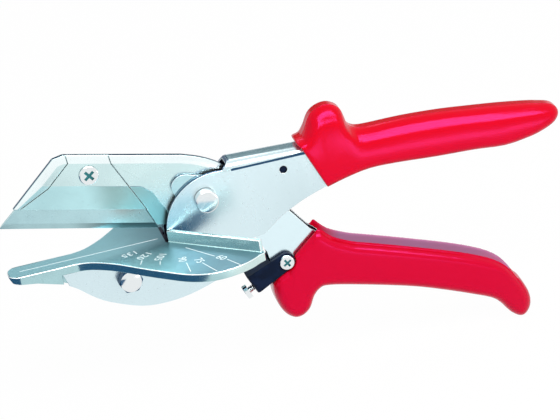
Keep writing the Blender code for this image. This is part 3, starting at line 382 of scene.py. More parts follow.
def new_finish(name, shade_of):
    """A material whose parts are made by shade_of, which returns its tint, roughness and bump."""
    made = bpy.data.materials.new(name)
    made.use_nodes = True
    tree = Tree(made.node_tree)
    shader = made.node_tree.nodes["Principled BSDF"].inputs
    tint, roughness, bump = shade_of(name, tree, shader)
    tree.fill(shader["Base Color"], tint)
    tree.fill(shader["Roughness"], roughness)
    if bump:
        height, strength, distance = bump
        bump = tree.add("ShaderNodeBump", {"Height": height, "Strength": strength, "Distance": distance})
        tree.fill(shader["Normal"], bump)
    return made


def metal(name, tree, shader):
    """Plated or ground metal: fine grain along one axis, clouded polish, and small scuffs."""
    shade, roughness, grain, grain_strength, cloud, *second = metals[name]
    shader["Metallic"].default_value = 1.0
    shades = shade_named(shade)
    if second:
        shade, share, start, stop = second
        shades = tree.mixed(tree.place("X").between(start, stop), shades, darker(shade_named(shade), share))
    fine = tree.pattern(grain, 4.0, 0.6)
    clouds = tree.pattern(90, 3.0, 0.5)
    scuffs = tree.pattern(620, 2.0, 0.7).between(0.60, 0.74)
    white = (1.0, 1.0, 1.0)
    dimmed = tree.mixed(clouds.between(0.35, 0.70) * 0.8, white, darker(white, 1.0 - cloud))
    dimmed = tree.mixed(scuffs * 0.35, dimmed, darker(white, 0.82))
    tint = tree.mixed(1.0, shades, dimmed, "MULTIPLY")
    roughness = roughness + (fine - 0.5) * 0.10 + (clouds - 0.5) * 0.10 + scuffs * 0.06
    return tint, roughness, (fine + scuffs * 0.3, grain_strength, 0.00002)


def grip_plastic(name, tree, shader):
    """Glossy red plastic, slightly uneven, painted darker lower down, most of all on the lower grip, with a
    pale sheen painted in its channel as a reflection.
    """
    clouds = tree.pattern(45, 2.0, 0.5)
    fine = tree.pattern(1600, 2.0, 0.6)
    # Share of the lit red over the painted shade, rising with height
    painted_light_share = (tree.place("Z") + (clouds - 0.5) * 0.010).between(-0.004, 0.020)
    tint = tree.mixed(painted_light_share, shade_named("grip_red_painted_shade"), shade_named("grip_red"))
    channel = tree.add("ShaderNodeAttribute", attribute_name="channel").other("Fac")
    # The painted sheen on the channel's walls
    tint = tree.mixed(channel * (0.8 + clouds * 0.3), tint, shade_named("grip_painted_sheen"))
    shader["IOR"].default_value = 1.49
    shader["Specular IOR Level"].default_value = 0.50
    shader["Specular Tint"].default_value = (1.0, 0.11, 0.70, 1.0)
    roughness = 0.17 + (fine - 0.5) * 0.05 + (clouds - 0.5) * 0.06 + channel * 0.15
    return tint, roughness, (clouds + fine * 0.04, 0.05, 0.0004)


def block_plastic(name, tree, shader):
    """Black moulding with a fine spark-eroded grain and a dull polish on it."""
    fine = tree.pattern(2600, 3.0, 0.6)
    clouds = tree.pattern(240, 2.0, 0.5)
    shade = shade_named("block_black")
    shader["Specular IOR Level"].default_value = 0.07
    tint = tree.mixed(clouds.between(0.35, 0.7), shade, darker(shade, 1.8))
    return tint, 0.34 + (clouds - 0.5) * 0.16, (fine, 0.25, 0.00004)


def scale_ink(name, tree, shader):
    """White fill of the scale, worn thin in small spots."""
    spots = tree.pattern(2200, 3.0, 0.6).between(0.55, 0.75)
    shade = shade_named("scale_ink")
    return tree.mixed(spots * 0.5, shade, darker(shade, 0.75)), 0.45 + spots * 0.2, None


other_finishes = {"grip_plastic": grip_plastic, "block_plastic": block_plastic, "scale_ink": scale_ink}


def finish(name):
    """The named material, made the first time that it is asked for."""
    return bpy.data.materials.get(name) or new_finish(name, other_finishes.get(name, metal))


def new_piece(name, data):
    piece = bpy.data.objects.new(name, data)
    bpy.context.scene.collection.objects.link(piece)
    return piece


def settled(piece):
    """The piece with its modifiers worked into a plain mesh."""
    graph = bpy.context.evaluated_depsgraph_get()
    drawn = piece.evaluated_get(graph)
    data = bpy.data.meshes.new_from_object(drawn, preserve_all_data_layers=True, depsgraph=graph)
    data.name = piece.name
    piece.modifiers.clear()
    piece.data = data
    return piece


def placed(piece, body, slot, *nodes):
    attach(piece, body)
    if nodes:
        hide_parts(*nodes)


def dressed(data, *materials):
    data.materials.clear()
    for material in materials:
        data.materials.append(finish(material))


def smoothed(data):
    data.shade_smooth()
    data.set_sharp_from_angle(angle=math.radians(sharp_degrees))


def merged_copy(name, node, *materials):
    """A copy of a CAD node with its doubles merged and its flat faces joined up again."""
    mesh = bmesh.new()
    mesh.from_mesh(frame["nodes"][node].data)
    bmesh.ops.remove_doubles(mesh, verts=mesh.verts, dist=0.000002)
    bmesh.ops.dissolve_degenerate(mesh, edges=mesh.edges, dist=0.000001)
    bmesh.ops.dissolve_limit(mesh, angle_limit=math.radians(0.3), verts=mesh.verts, edges=mesh.edges)
    data = bpy.data.meshes.new(name)
    mesh.to_mesh(data)
    mesh.free()
    dressed(data, *materials)
    data.shade_smooth()
    return new_piece(name, data)


def scored(piece, cuts):
    """New edges round the piece where planes, each a place and a normal, pass through it."""
    mesh = bmesh.new()
    mesh.from_mesh(piece.data)
    for place, normal in cuts:
        everything = [*mesh.verts, *mesh.edges, *mesh.faces]
        bmesh.ops.bisect_plane(mesh, geom=everything, dist=0.000001, plane_co=place, plane_no=normal)
    mesh.to_mesh(piece.data)
    mesh.free()


def make_worked(
    name, node, body, slot, materials, chosen, width, angle=32, segments=2, cuts=(), bent=None, painted_light_and_shade=None
):
    """A merged copy in a CAD node's place, whose sharp edges are rounded and get the last material, on the
    sheets, blade and table a painted highlight.

    chosen gives the number of a face's material from its normal and middle, and the last argument that of an
    edge's, for its painted light and shade, where it isn't the last one. cuts score the copy, and bent moves
    its points, before edges are rounded."""
    piece = merged_copy(name, node, *materials)
    scored(piece, cuts)
    if bent:
        bent(piece)
    last = len(materials) - 1
    for face in piece.data.polygons:
        face.material_index = chosen(face.normal, face.center)
    edge = piece.modifiers.new("edges", "BEVEL")
    edge.limit_method = "ANGLE"
    edge.angle_limit = math.radians(angle)
    edge.width = width
    edge.segments = segments
    edge.use_clamp_overlap = False
    edge.material = last
    settled(piece)
    for face in piece.data.polygons:
        if painted_light_and_shade and face.material_index == last:
            face.material_index = painted_light_and_shade(face.normal, face.center)
    smoothed(piece.data)
    even = piece.modifiers.new("flat_faces", "WEIGHTED_NORMAL")
    even.mode = "FACE_AREA"
    even.weight = 100
    even.keep_sharp = True
    placed(settled(piece), body, slot, node)


def ends_along(points, step):
    """A function that gives the lowest and highest Z of the points near an X."""
    start = min(point.x for point in points)
    count = int((max(point.x for point in points) - start) / step) + 1
    low = [math.inf] * count
    high = [-math.inf] * count
    for point in points:
        i = int((point.x - start) / step)
        low[i] = min(low[i], point.z)
        high[i] = max(high[i], point.z)

    def near(x):
        place = min(max((x - start) / step - 0.5, 0.0), count - 1.001)
        i = int(place)
        share = place - i
        return [ends[i] * (1 - share) + ends[i + 1] * share for ends in (low, high)]

    return near


def crowned(piece, shoulder, deepest, slope, bulge, core, step=0.002, soft=0.0008, even=0.0004):
    """The outside drawn in, but not past its core: a sloping shoulder, and a slight bulge below that.

    step is the length over which the ends are averaged, soft rounds the shoulder's start, and even is what a
    normal may lean in before a point counts as inside."""
    points = [point.co.copy() for point in piece.data.vertices]
    outward = [point.normal.y * point.co.y > -even for point in piece.data.vertices]
    half = max(place.y for place in points)
    near = ends_along(points, step)
    for i, place in enumerate(points):
        if not outward[i]:
            continue
        low, high = near(place.x)
        tall = max(high - low, step)
        above = place.z - high + min(shoulder * tall, deepest)
        drawn = slope * (above + math.hypot(above, soft)) / 2 / half
        share = max(0.0, min(1.2, 2 * (place.z - low) / tall - 0.5))
        aside = abs(place.y) * (1 - drawn - bulge * share * share)
        place.y = math.copysign(max(aside, min(abs(place.y), core)), place.y)
    piece.data.vertices.foreach_set("co", [number for place in points for number in place])
    piece.data.update()


def moulded_copy(name, node, material, side, passes=6):
    """A copy in even small faces, whose edges are softened as a moulding's are."""
    piece = merged_copy(name, node, material)
    even = piece.modifiers.new("even_faces", "REMESH")
    even.mode = "VOXEL"
    even.voxel_size = side
    even.use_smooth_shade = True
    soft = piece.modifiers.new("soft_edges", "SMOOTH")
    soft.factor = 0.5
    soft.iterations = passes
    settled(piece)
    dressed(piece.data, material)
    return piece


class GeometryTree(Tree):
    """A Geometry Nodes group with named inputs, that ends in Realize Instances and Set Material."""

    def __init__(self, name, sizes):
        super().__init__(bpy.data.node_groups.new(name, "GeometryNodeTree"))
        for label, value in sizes.items():
            self.socket(label, "Int" if isinstance(value, int) else "Float").default_value = value
        self.material = self.socket("Material", "Material").identifier
        self.socket("Geometry", "Geometry", "OUTPUT")
        self.entry = self.group.nodes.new("NodeGroupInput")

    def socket(self, label, kind, way="INPUT"):
        return self.group.interface.new_socket(label, in_out=way, socket_type=f"NodeSocket{kind}")

    def __getitem__(self, label):
        """The group's input of that name."""
        return Value(self, self.entry.outputs[label])

    def end(self, geometry):
        real = self.add("GeometryNodeRealizeInstances", {"Geometry": geometry})
        covered = self.add("GeometryNodeSetMaterial", {"Geometry": real, "Material": self["Material"]})
        way_out = self.group.nodes.new("NodeGroupOutput")
        self.group.links.new(covered.socket, way_out.inputs["Geometry"])
        return self

    def by_index(self, kind, values):
        """The one of the values that has a point's own number."""
        index = self.add("GeometryNodeInputIndex")
        inputs = {0: index, **dict(enumerate(values, 1))}
        return self.add("GeometryNodeIndexSwitch", inputs, data_type=kind, items=len(values))

    def line(self, low, high, count):
        """Points along Z from one height to another."""
        ends = {"Start": self.vector(z=low), "End": self.vector(z=high)}
        line = self.add("GeometryNodeCurvePrimitiveLine", ends)
        return self.add("GeometryNodeResampleCurve", {"Curve": line, "Count": count})

    def swept(self, curve, sides, radius, **more):
        """A ring carried along a curve, closed by a face at each end."""
        ring = self.add("GeometryNodeCurvePrimitiveCircle", {"Resolution": sides, "Radius": radius})
        inputs = {"Curve": curve, "Profile Curve": ring, "Fill Caps": True, **more}
        return self.add("GeometryNodeCurveToMesh", inputs)

    def turned(self, profile):
        """A solid of revolution about Z from (radius, height) pairs, closed by a face at each end."""
        radii, heights = zip(*profile)
        place = self.vector(z=self.by_index("FLOAT", heights))
        points = {"Geometry": self.line(0.0, 0.001, len(profile)), "Position": place}
        curve = self.add("GeometryNodeSetPosition", points)
        return self.swept(curve, self["Sides"], 1.0, Scale=self.by_index("FLOAT", radii))

    def head(self, height):
        """Profile of a head with a rounded upper rim and a slightly crowned face."""
        radius, edge, crown = [self[label] for label in ("Head radius", "Edge round", "Crown")]
        profile = [(radius, 0.0)]
        for degrees in (0, 22.5, 45, 67.5, 90):
            turn = math.radians(degrees)
            profile.append((radius - edge * (1 - math.cos(turn)), height - edge + edge * math.sin(turn)))
        for inwards, risen in ((0.92, 0.15), (0.55, 0.7), (0.02, 1.0)):
            profile.append(((radius - edge) * inwards, height + crown * risen))
        return profile

    def shank(self, head):
        """A rod below a head of this height, whose surface carries a real helical thread."""
        radius, pitch = self["Shank radius"], self["Thread pitch"]
        low, high = -self["Shank length"], head * 0.4
        rod = self.swept(self.line(low, high, 8.0 * (high - low) / pitch), self["Sides"], radius)
        x = self.add("ShaderNodeSeparateXYZ", {"Vector": self.add("GeometryNodeInputPosition")})
        y, z = x.other("Y"), x.other("Z")
        turn = x.maths("ARCTAN2", y, x) + z / pitch * math.tau
        cut = (1.0 - turn.maths("SINE", turn)) * 0.5 * self["Thread depth"] / radius
        ends = (z - low).between(0.0, pitch) * (high - z).between(0.0, pitch * 0.2)
        shrink = 1.0 - cut * (0.4 + ends * 0.6)
        points = {"Geometry": rod, "Position": self.vector(x * shrink, y * shrink, z)}
        return self.add("GeometryNodeSetPosition", points)

    def moved(self, geometry, place):
        return self.add("GeometryNodeTransform", {"Geometry": geometry, "Translation": place})

    def hexagon(self, corner, height):
        """A prism about Z, from z = 0 upwards."""
        sizes = {"Vertices": 6, "Radius": corner, "Depth": height}
        return self.moved(self.add("GeometryNodeMeshCylinder", sizes), self.vector(z=height / 2))

    def block(self, size, centre):
        return self.moved(self.add("GeometryNodeMeshCube", {"Size": size}), centre)

    def joined(self, operation, first, *others):
        """Union, or the first part's difference from or intersection with the others."""
        parts = {"Mesh 2": [first, *others]}
        if operation == "DIFFERENCE":
            parts = {"Mesh 1": first, "Mesh 2": list(others)}
        return self.add("GeometryNodeMeshBoolean", parts, operation=operation, solver="EXACT")


def turned_sizes():
    """The sizes that all turned parts share."""
    parts = settings().fasteners
    return {"Sides": parts.sides, "Crown": parts.crown}


def threaded_sizes():
    """The sizes that all threaded parts share."""
    parts = settings().fasteners
    return {**turned_sizes(), "Thread pitch": parts.thread_pitch, "Thread depth": parts.thread_depth}


def screw_tree(name, cross, sizes):
    """Screw with a round head above z = 0, with a cross or a slot in it, and a threaded shank below it."""
    round_head = {"Edge round": settings().fasteners.edge_round, "Drive width": 0.30}
    tree = GeometryTree(name, {**round_head, **threaded_sizes(), **sizes})
    radius, head = tree["Head radius"], tree["Head height"]
    whole = tree.joined("UNION", tree.turned(tree.head(head)), tree.shank(head))
    deep = head * tree["Drive depth"]
    wide = radius * tree["Drive width"]
    across = radius * tree["Drive length"] * 2
    tall = deep + tree["Crown"] + 0.001
    centre = tree.vector(z=head - deep + tall / 2)
    bars = ((across, wide), (wide, across)) if cross else ((across, wide),)
    cuts = [tree.block(tree.vector(x, y, tall), centre) for x, y in bars]
    return tree.end(tree.joined("DIFFERENCE", whole, *cuts))


def hexagon_tree(name, bolt, sizes):
    """Hexagon head with a threaded shank below it, or a hexagon nut with its hole."""
    shared = threaded_sizes() if bolt else turned_sizes()
    tree = GeometryTree(name, {**shared, **sizes})
    flats, height, radius = [tree[label] for label in ("Across flats", "Height", "Shank radius")]
    corner = flats / math.sqrt(3)
    rim = corner - flats / 2
    lower = ((flats / 2, 0.0), (corner, rim * 0.6))
    if bolt:
        lower = ((corner + rim, -rim), (corner + rim, rim * 0.2))
    upper = ((corner, height - rim * 0.6), (flats / 2, height), (flats * 0.01, height + tree["Crown"]))
    head = tree.joined("INTERSECT", tree.hexagon(corner, height), tree.turned([*lower, *upper]))
    if bolt:
        return tree.end(tree.joined("UNION", head, tree.shank(height)))
    wider, widest = radius + rim * 0.4, radius + rim * 0.8
    lower = ((widest, -rim), (wider, 0.0), (radius, rim * 0.4))
    upper = ((radius, height - rim * 0.4), (wider, height), (widest, height + rim))
    return tree.end(tree.joined("DIFFERENCE", head, tree.turned([*lower, *upper])))


def rivet_tree(name, sizes):
    """Rivet through both handles, with a tall crowned head above z = 0 and a low one at the far end."""
    tree = GeometryTree(name, {**turned_sizes(), **sizes})
    radius, reach = tree["Shank radius"], tree["Shank length"]
    far = [(aside, -reach - height) for aside, height in tree.head(tree["Far height"])]
    profile = [*reversed(far), (radius, -reach), (radius, 0.0), *tree.head(tree["Head height"])]
    return tree.end(tree.turned(profile))


def spring_tree(name, sizes):
    """Coil spring along Z from z = 0."""
    tree = GeometryTree(name, sizes)
    radius, wire = tree["Radius"], tree["Wire"]
    coil = tree.add("GeometryNodeCurveSpiral", {
        "Resolution": 28, "Rotations": tree["Turns"], "Start Radius": radius, "End Radius": radius,
        "Height": tree["Length"] - wire,
    })
    smooth = tree.add("GeometryNodeSetShadeSmooth", {"Geometry": tree.swept(coil, 14, wire / 2)})
    return tree.end(tree.moved(smooth, tree.vector(z=wire / 2)))


def rays_tree(name, sizes):
    """Thin raised lines, one for each ray of the scale."""
    tree = GeometryTree(name, sizes)

    def worked(operation, inputs, output=0):
        return tree.add("ShaderNodeVectorMath", inputs, output, operation=operation)

    start = tree.by_index("VECTOR", [(*ray[:2], 0.0) for ray in scale_rays])
    stop = tree.by_index("VECTOR", [(*ray[2:], 0.0) for ray in scale_rays])
    along = worked("SUBTRACT", {0: stop, 1: start})
    reach = worked("LENGTH", {0: along}, "Value")
    middle = worked("SCALE", {0: worked("ADD", {0: start, 1: stop}), "Scale": 0.5})
    points = tree.add("GeometryNodePoints", {"Count": len(scale_rays), "Position": middle})
    size = tree.vector(1.0, tree["Width"], tree["Height"])
    bar = tree.add("GeometryNodeMeshCube", {"Size": size})
    turn = tree.add("FunctionNodeAlignRotationToVector", {"Vector": along}, axis="X")
    lines = tree.add("GeometryNodeInstanceOnPoints", {
        "Points": points, "Instance": bar, "Rotation": turn, "Scale": tree.vector(reach, 1.0, 1.0),
    })
    return tree.end(tree.moved(lines, tree.vector(z=tree["Height"] * 0.6)))


def from_tree(tree, material, place, direction, second=None, chosen=None, spin=0.0):
    """A plain mesh from a Geometry Nodes group with its own default sizes, aimed along a direction.

    chosen says, before the mesh is aimed, which faces get the second material, and spin, in degrees, turns
    it first. The piece has the group's name."""
    piece = new_piece(tree.group.name, bpy.data.meshes.new(tree.group.name))
    nodes = piece.modifiers.new("shape", "NODES")
    nodes.node_group = tree.group
    nodes[tree.material] = finish(material)
    settled(piece)
    if second:
        piece.data.materials.append(finish(second))
        for face in piece.data.polygons:
            if chosen(face.normal, face.center):
                face.material_index = len(piece.data.materials) - 1
    turn = Vector((0, 0, 1)).rotation_difference(Vector(direction)).to_matrix().to_4x4()
    turn @= Matrix.Rotation(math.radians(spin), 4, "Z")
    piece.data.transform(Matrix.Translation(Vector(place)) @ turn)
    smoothed(piece.data)
    return piece


def in_recess(head_radius, top):
    """Tells the faces of a drive's recess, which lie lower than top, from those of the head round it, for a
    painted shade.
    """
    def inside(normal, centre):
        return 0 < centre.z < top and math.hypot(centre.x, centre.y) < head_radius * 0.85
    return inside


def on_side(normal, centre, face_radius=0.0036):
    """Tells a head's sides and its turned rim from its face, for a painted shade on them."""
    return centre.z > 0 and abs(normal.z) < 0.93 and math.hypot(centre.x, centre.y) > face_radius


def on_foot(normal, centre, foot_height=0.0011):
    """Tells the foot of a round head, for a painted shadow where it meets the plate."""
    return 0 < centre.z < foot_height and abs(normal.z) < 0.45


def reach_along(node, direction):
    """The lowest and highest place of a node's points along a direction."""
    places = [direction.dot(point.co) for point in frame["nodes"][node].data.vertices]
    return min(places), max(places)


def middle(node):
    low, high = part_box(node)
    return (Vector(low) + Vector(high)) / 2


def joint_named(name):
    """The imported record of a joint."""
    return next(joint for joint in frame["record"]["behaviour"]["joints"] if joint["name"] == name)


def make_cross_screw(name, node, head, shank, drive, margin, spin):
    """A cross head screw in the place of a CAD node, with its head to the front.

    head is its head's height, shank the radius below it and drive the recess's depth, as a share of the head.
    Faces that lie deeper in the recess than margin get a painted shade, and spin turns the cross, in degrees."""
    low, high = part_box(node)
    centre = middle(node)
    radius = (high.x - low.x) / 2
    seat = head + crown_room
    tree = screw_tree(name, True, {
        "Head radius": radius, "Head height": head, "Shank radius": shank, "Drive depth": drive,
        "Shank length": high.y - low.y - seat, "Drive length": 0.60,
    })
    place = (centre.x, low.y + seat, centre.z)
    recess = in_recess(radius, head - margin)
    screw = from_tree(tree, "zinc_plate", place, to_front, "drive_recess", recess, spin)
    placed(screw, "blade_side", "zinc_plate", node)


def make_nut(name, node, screw, body, flats, bore):
    """A hexagon nut in the place of a CAD node, in line with its screw."""
    low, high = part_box(node)
    centre = middle(screw)
    height = high.y - low.y - crown_room
    tree = hexagon_tree(name, False, {"Across flats": flats, "Height": height, "Shank radius": bore})
    nut = from_tree(tree, "zinc_plate", (centre.x, high.y - crown_room, centre.z), to_front)
    placed(nut, body, "zinc_plate", node)


class SHEARS_OT_stage(bpy.types.Operator):
    """Makes the floor, the light and the camera"""

    bl_idname = "shears.make_stage"
    bl_label = "Stage"

    def execute(self, context):
        scene = context.scene
        scene.view_settings.view_transform = "Standard"
        self.make_world(scene)
        self.make_floor()
        for name, sizes in lamps.items():
            self.make_lamp(name, *sizes)
        for name, sizes in cards.items():
            self.make_card(name, *sizes)
        self.make_camera(scene)
        return {"FINISHED"}

    def make_camera(self, scene):
        camera = new_piece("camera", bpy.data.cameras.new("camera"))
        camera.data.lens = camera_lens
        camera.data.clip_start = 0.1
        back = camera_back.normalized()
        right = (camera_right - back * camera_right.dot(back)).normalized()
        turn = Matrix((right, back.cross(right), back)).transposed().to_4x4()
        camera.matrix_world = Matrix.Translation(camera_aim + back * camera_distance) @ turn
        scene.camera = camera

    def make_world(self, scene):
        world = bpy.data.worlds.new("studio")
        world.use_nodes = True
        scene.world = world
        tree = Tree(world.node_tree)
        light = world.node_tree.nodes["Background"].inputs
        light["Color"].default_value = (1, 1, 1, 1)
        seen = self.seen(tree)
        tree.fill(light["Strength"], seen + (1.0 - seen) * world_strength)

    def seen(self, tree):
        """1 for rays from the camera, a reflection or glass, else 0."""
        path = tree.add("ShaderNodeLightPath")
        seen = path.maths("MAXIMUM", path, path.other("Is Glossy Ray"))
        return seen.maths("MAXIMUM", seen, path.other("Is Transmission Ray"))

    def make_floor(self):
        floor = self.make_rectangle("floor", *floor_corners)
        tree = Tree(floor.active_material.node_tree)
        shader = tree.group.nodes["Principled BSDF"]
        shader.inputs["Base Color"].default_value = (*shade_named("floor"), 1.0)
        shader.inputs["Roughness"].default_value = 1.0
        shader.inputs["Specular IOR Level"].default_value = 0.0
        white = tree.add("ShaderNodeEmission", {"Strength": 1.0})
        shares = {0: self.seen(tree) * 0.98, 1: Value(tree, shader.outputs[0]), 2: white}
        surface = tree.group.nodes["Material Output"].inputs["Surface"]
        tree.fill(surface, tree.add("ShaderNodeMixShader", shares))

    def make_card(self, name, first, last, strength):
        card = self.make_rectangle(name, first, last)
        tree = Tree(card.active_material.node_tree)
        glow = tree.add("ShaderNodeEmission", {"Color": (*shade_named(name), 1.0), "Strength": strength})
        tree.fill(tree.group.nodes["Material Output"].inputs["Surface"], glow)
        card.visible_camera = False
        card.visible_diffuse = False
        card.visible_shadow = False

    def make_rectangle(self, name, first, last):
        """A rectangle between two opposite corners, with its own material, which isn't part of the shears."""
        (left, front, low), (right, rear, high) = first, last
        corners = [(left, front, low), (right, front, low), (right, rear, high), (left, rear, high)]
        data = bpy.data.meshes.new(name)
        data.from_pydata(corners, [], [(0, 1, 2, 3)])
        data.materials.append(bpy.data.materials.new(name))
        data.materials[0].use_nodes = True
        piece = new_piece(name, data)
        return piece

    def make_lamp(self, name, place, wide, high, power):
        data = bpy.data.lights.new(name, "AREA")
        data.shape = "RECTANGLE"
        data.size = wide
        data.size_y = high
        data.energy = power
        lamp = new_piece(name, data)
        lamp.location = place
        lamp.rotation_euler = (Vector(place) - lamp_aim).to_track_quat("Z", "Y").to_euler()


class SHEARS_OT_plates(bpy.types.Operator):
    """Makes the folded sheets of both handles"""

    bl_idname = "shears.make_plates"
    bl_label = "Plates"

    def execute(self, context):
        sizes = settings().sizes
        front = Vector((sizes.bead_front_x, 0, sizes.bead_front_z))
        upright = Vector((sizes.bead_fall, 0, 1)).normalized()
        depths = [sizes.bead_depth * share for share in (0.3, 0.5, 0.65, 0.75, 0.85, 1.0)]
        cuts = [(front - upright * depth, upright) for depth in depths]
        cuts += [(front + Vector((bead_lead, 0, 0)), (1, 0, 0))]
        sides = ("sheet_cut", "sheet_inside", "worn_edge")
        make_worked(
            "upper_plates", "upper_handle_shell", "anvil_side", "chrome_plate", ("plated_sheet", *sides),
            self.side_of_upper, sizes.sheet_edge, cuts=cuts, bent=self.swell,
        )
        make_worked(
            "lower_plates", "lower_handle_shell", "blade_side", "chrome_plate", ("lower_sheet", *sides),
            self.side_of_lower, sizes.sheet_edge,
        )
        return {"FINISHED"}

    def below_bead(self, place):
        """How far a place lies below the bead's top, as a share of the bead's depth."""
        sizes = settings().sizes
        top = sizes.bead_front_z - sizes.bead_fall * (place.x - sizes.bead_front_x)
        return (top - place.z) / sizes.bead_depth

    def swell(self, piece):
        """The folded edge is a bead, a little wider than the plates below it."""
        sizes = settings().sizes
        for point in piece.data.vertices:
            share = self.below_bead(point.co)
            if point.co.x > sizes.bead_front_x - bead_lead and share < 1:
                fade = min(1.0, (1.0 - share) / 0.4)
                point.co.y *= 1 + sizes.bead_swell * fade * fade * (3 - 2 * fade)

    def side_of_lower(self, normal, centre):
        """0 for the plates' outsides, 1 for cut edges, painted dark as shade, 2 for the insides, painted as
        the shade between the plates.
        """
        if abs(normal.y) < 0.5:
            return 1
        return 2 if normal.y * centre.y < 0 else 0

    def side_of_upper(self, normal, centre):
        """The same, with 0 for the fold above the plates too, and 1 for the crease below the bead, where its
        shade is painted dark.
        """
        side = self.side_of_lower(normal, centre)
        if side == 2 or centre.x < settings().sizes.bead_front_x + bead_lead:
            return side
        if 0.7 < self.below_bead(centre) < 1.0:
            return 1
        return 0 if normal.z > 0.1 else side


class SHEARS_OT_grips(bpy.types.Operator):
    """Makes both moulded grips"""

    bl_idname = "shears.make_grips"
    bl_label = "Grips"

    def execute(self, context):
        side = settings().sizes.grip_grain
        for node, (body, *shape) in grips.items():
            grip = moulded_copy(f"{node}_moulding", node, "grip_plastic", side)
            self.mark_channel(grip)
            crowned(grip, *shape)
            placed(grip, body, "red_plastic", node)
        return {"FINISHED"}

    def mark_channel(self, grip):
        """An attribute that is 1 on the inner walls, where a pale sheen is painted, and 0 outside."""
        sizes = settings().sizes
        values = []
        for point in grip.data.vertices:
            inner = point.normal.y * point.co.y < 0 and abs(point.co.y) < sizes.channel_half_width * 1.1
            start = min(1.0, max(0.0, (point.co.x - sizes.sheen_start_x) / sizes.sheen_fade))
            values.append(start if inner and abs(point.normal.y) > 0.5 else 0.0)
        grip.data.attributes.new("channel", "FLOAT", "POINT").data.foreach_set("value", values)


class SHEARS_OT_anvil(bpy.types.Operator):
    """Makes the anvil with its table and fences"""

    bl_idname = "shears.make_anvil"
    bl_label = "Anvil"

    def execute(self, context):
        sizes = settings().sizes
        half = sizes.slot_half_width
        cuts = [((place, 0, 0), (1, 0, 0)) for place in (sizes.slot_front_x, sizes.shade_rear_x)]
        cuts += [((0, place, 0), (0, 1, 0)) for place in (-half, half, sizes.shade_reach)]
        make_worked(
            "anvil_casting", "anvil_table", "anvil_side", "satin_casting",
            ("table_casting", "casting_side", "fence_casting", "sheet_inside", "fence_back", "worn_edge"),
            self.side_of_table, sizes.cast_edge, cuts=cuts, painted_light_and_shade=self.edge_of_table,
        )
        return {"FINISHED"}

    def in_slot(self, centre):
        """Whether a place is in the cut where the plates stand, or in the painted shade beside it."""
        sizes = settings().sizes
        between = abs(centre.y) < sizes.slot_half_width + 0.0001
        # A patch of painted shade beside the strip, towards the back
        darkened = centre.x < sizes.shade_rear_x and 0 < centre.y < sizes.shade_reach and centre.z > -0.0003
        return centre.x > sizes.slot_front_x and (between or darkened)

    def behind_fence(self, centre):
        """How far a place lies behind the face of its fence, which stands at 45 degrees."""
        return (centre.x - abs(centre.y) + settings().sizes.slot_half_width) / math.sqrt(2)

    def side_of_table(self, normal, centre):
        """0 the table's top, 1 its walls and below, with a painted reflection, 2 the fences, 3 the plates'
        slot and the painted shade beside it, 4 the fences' backs, painted dark as shade.
        """
        sizes = settings().sizes
        if self.in_slot(centre):
            return 3
        if centre.z > sizes.table_skin:
            return 4 if self.behind_fence(centre) > sizes.fence_skin and normal.z < 0.5 else 2
        return 0 if normal.z > 0.5 else 1

    def edge_of_table(self, normal, centre):
        """The same for the rounded edges, of which those along the top are 5, painted bright as a highlight.
        """
        sizes = settings().sizes
        if self.in_slot(centre):
            return 3
        behind = self.behind_fence(centre)
        if centre.z > sizes.table_skin and behind > sizes.fence_skin:
            return 4
        at_foot = -0.0001 < centre.z < 0.0010 and abs(behind) < 0.0008
        if at_foot:
            return 2
        return 1 if centre.z < -0.0008 else 5


class SHEARS_OT_scale(bpy.types.Operator):
    """Makes the numbers and rays of the angle scale"""

    bl_idname = "shears.make_scale"
    bl_label = "Angle scale"

    def execute(self, context):
        sizes = settings().sizes
        tree = rays_tree("scale_rays", {"Width": sizes.ray_width, "Height": sizes.ink_height})
        pieces = [from_tree(tree, "scale_ink", (0, 0, 0), (0, 0, 1))]
        pieces += [self.number(*number) for number in scale_numbers]
        for piece in pieces:
            placed(piece, "anvil_side", "satin_casting")
        return {"FINISHED"}

    def number(self, text, x, y, degrees):
        sizes = settings().sizes
        letters = bpy.data.curves.new(f"scale_{text}", "FONT")
        letters.body = text
        letters.size = sizes.number_height / 0.7
        letters.align_x = "CENTER"
        letters.align_y = "CENTER"
        letters.extrude = sizes.ink_height / 2
        letters.resolution_u = 4
        drawn = new_piece(f"scale_{text}_text", letters)
        graph = bpy.context.evaluated_depsgraph_get()
        data = bpy.data.meshes.new_from_object(drawn.evaluated_get(graph))
        bpy.data.objects.remove(drawn)
        place = Matrix.Translation((x, y, sizes.ink_height * 0.6))
        data.transform(place @ Matrix.Rotation(math.radians(degrees), 4, "Z"))
        dressed(data, "scale_ink")
        return new_piece(f"scale_{text}", data)


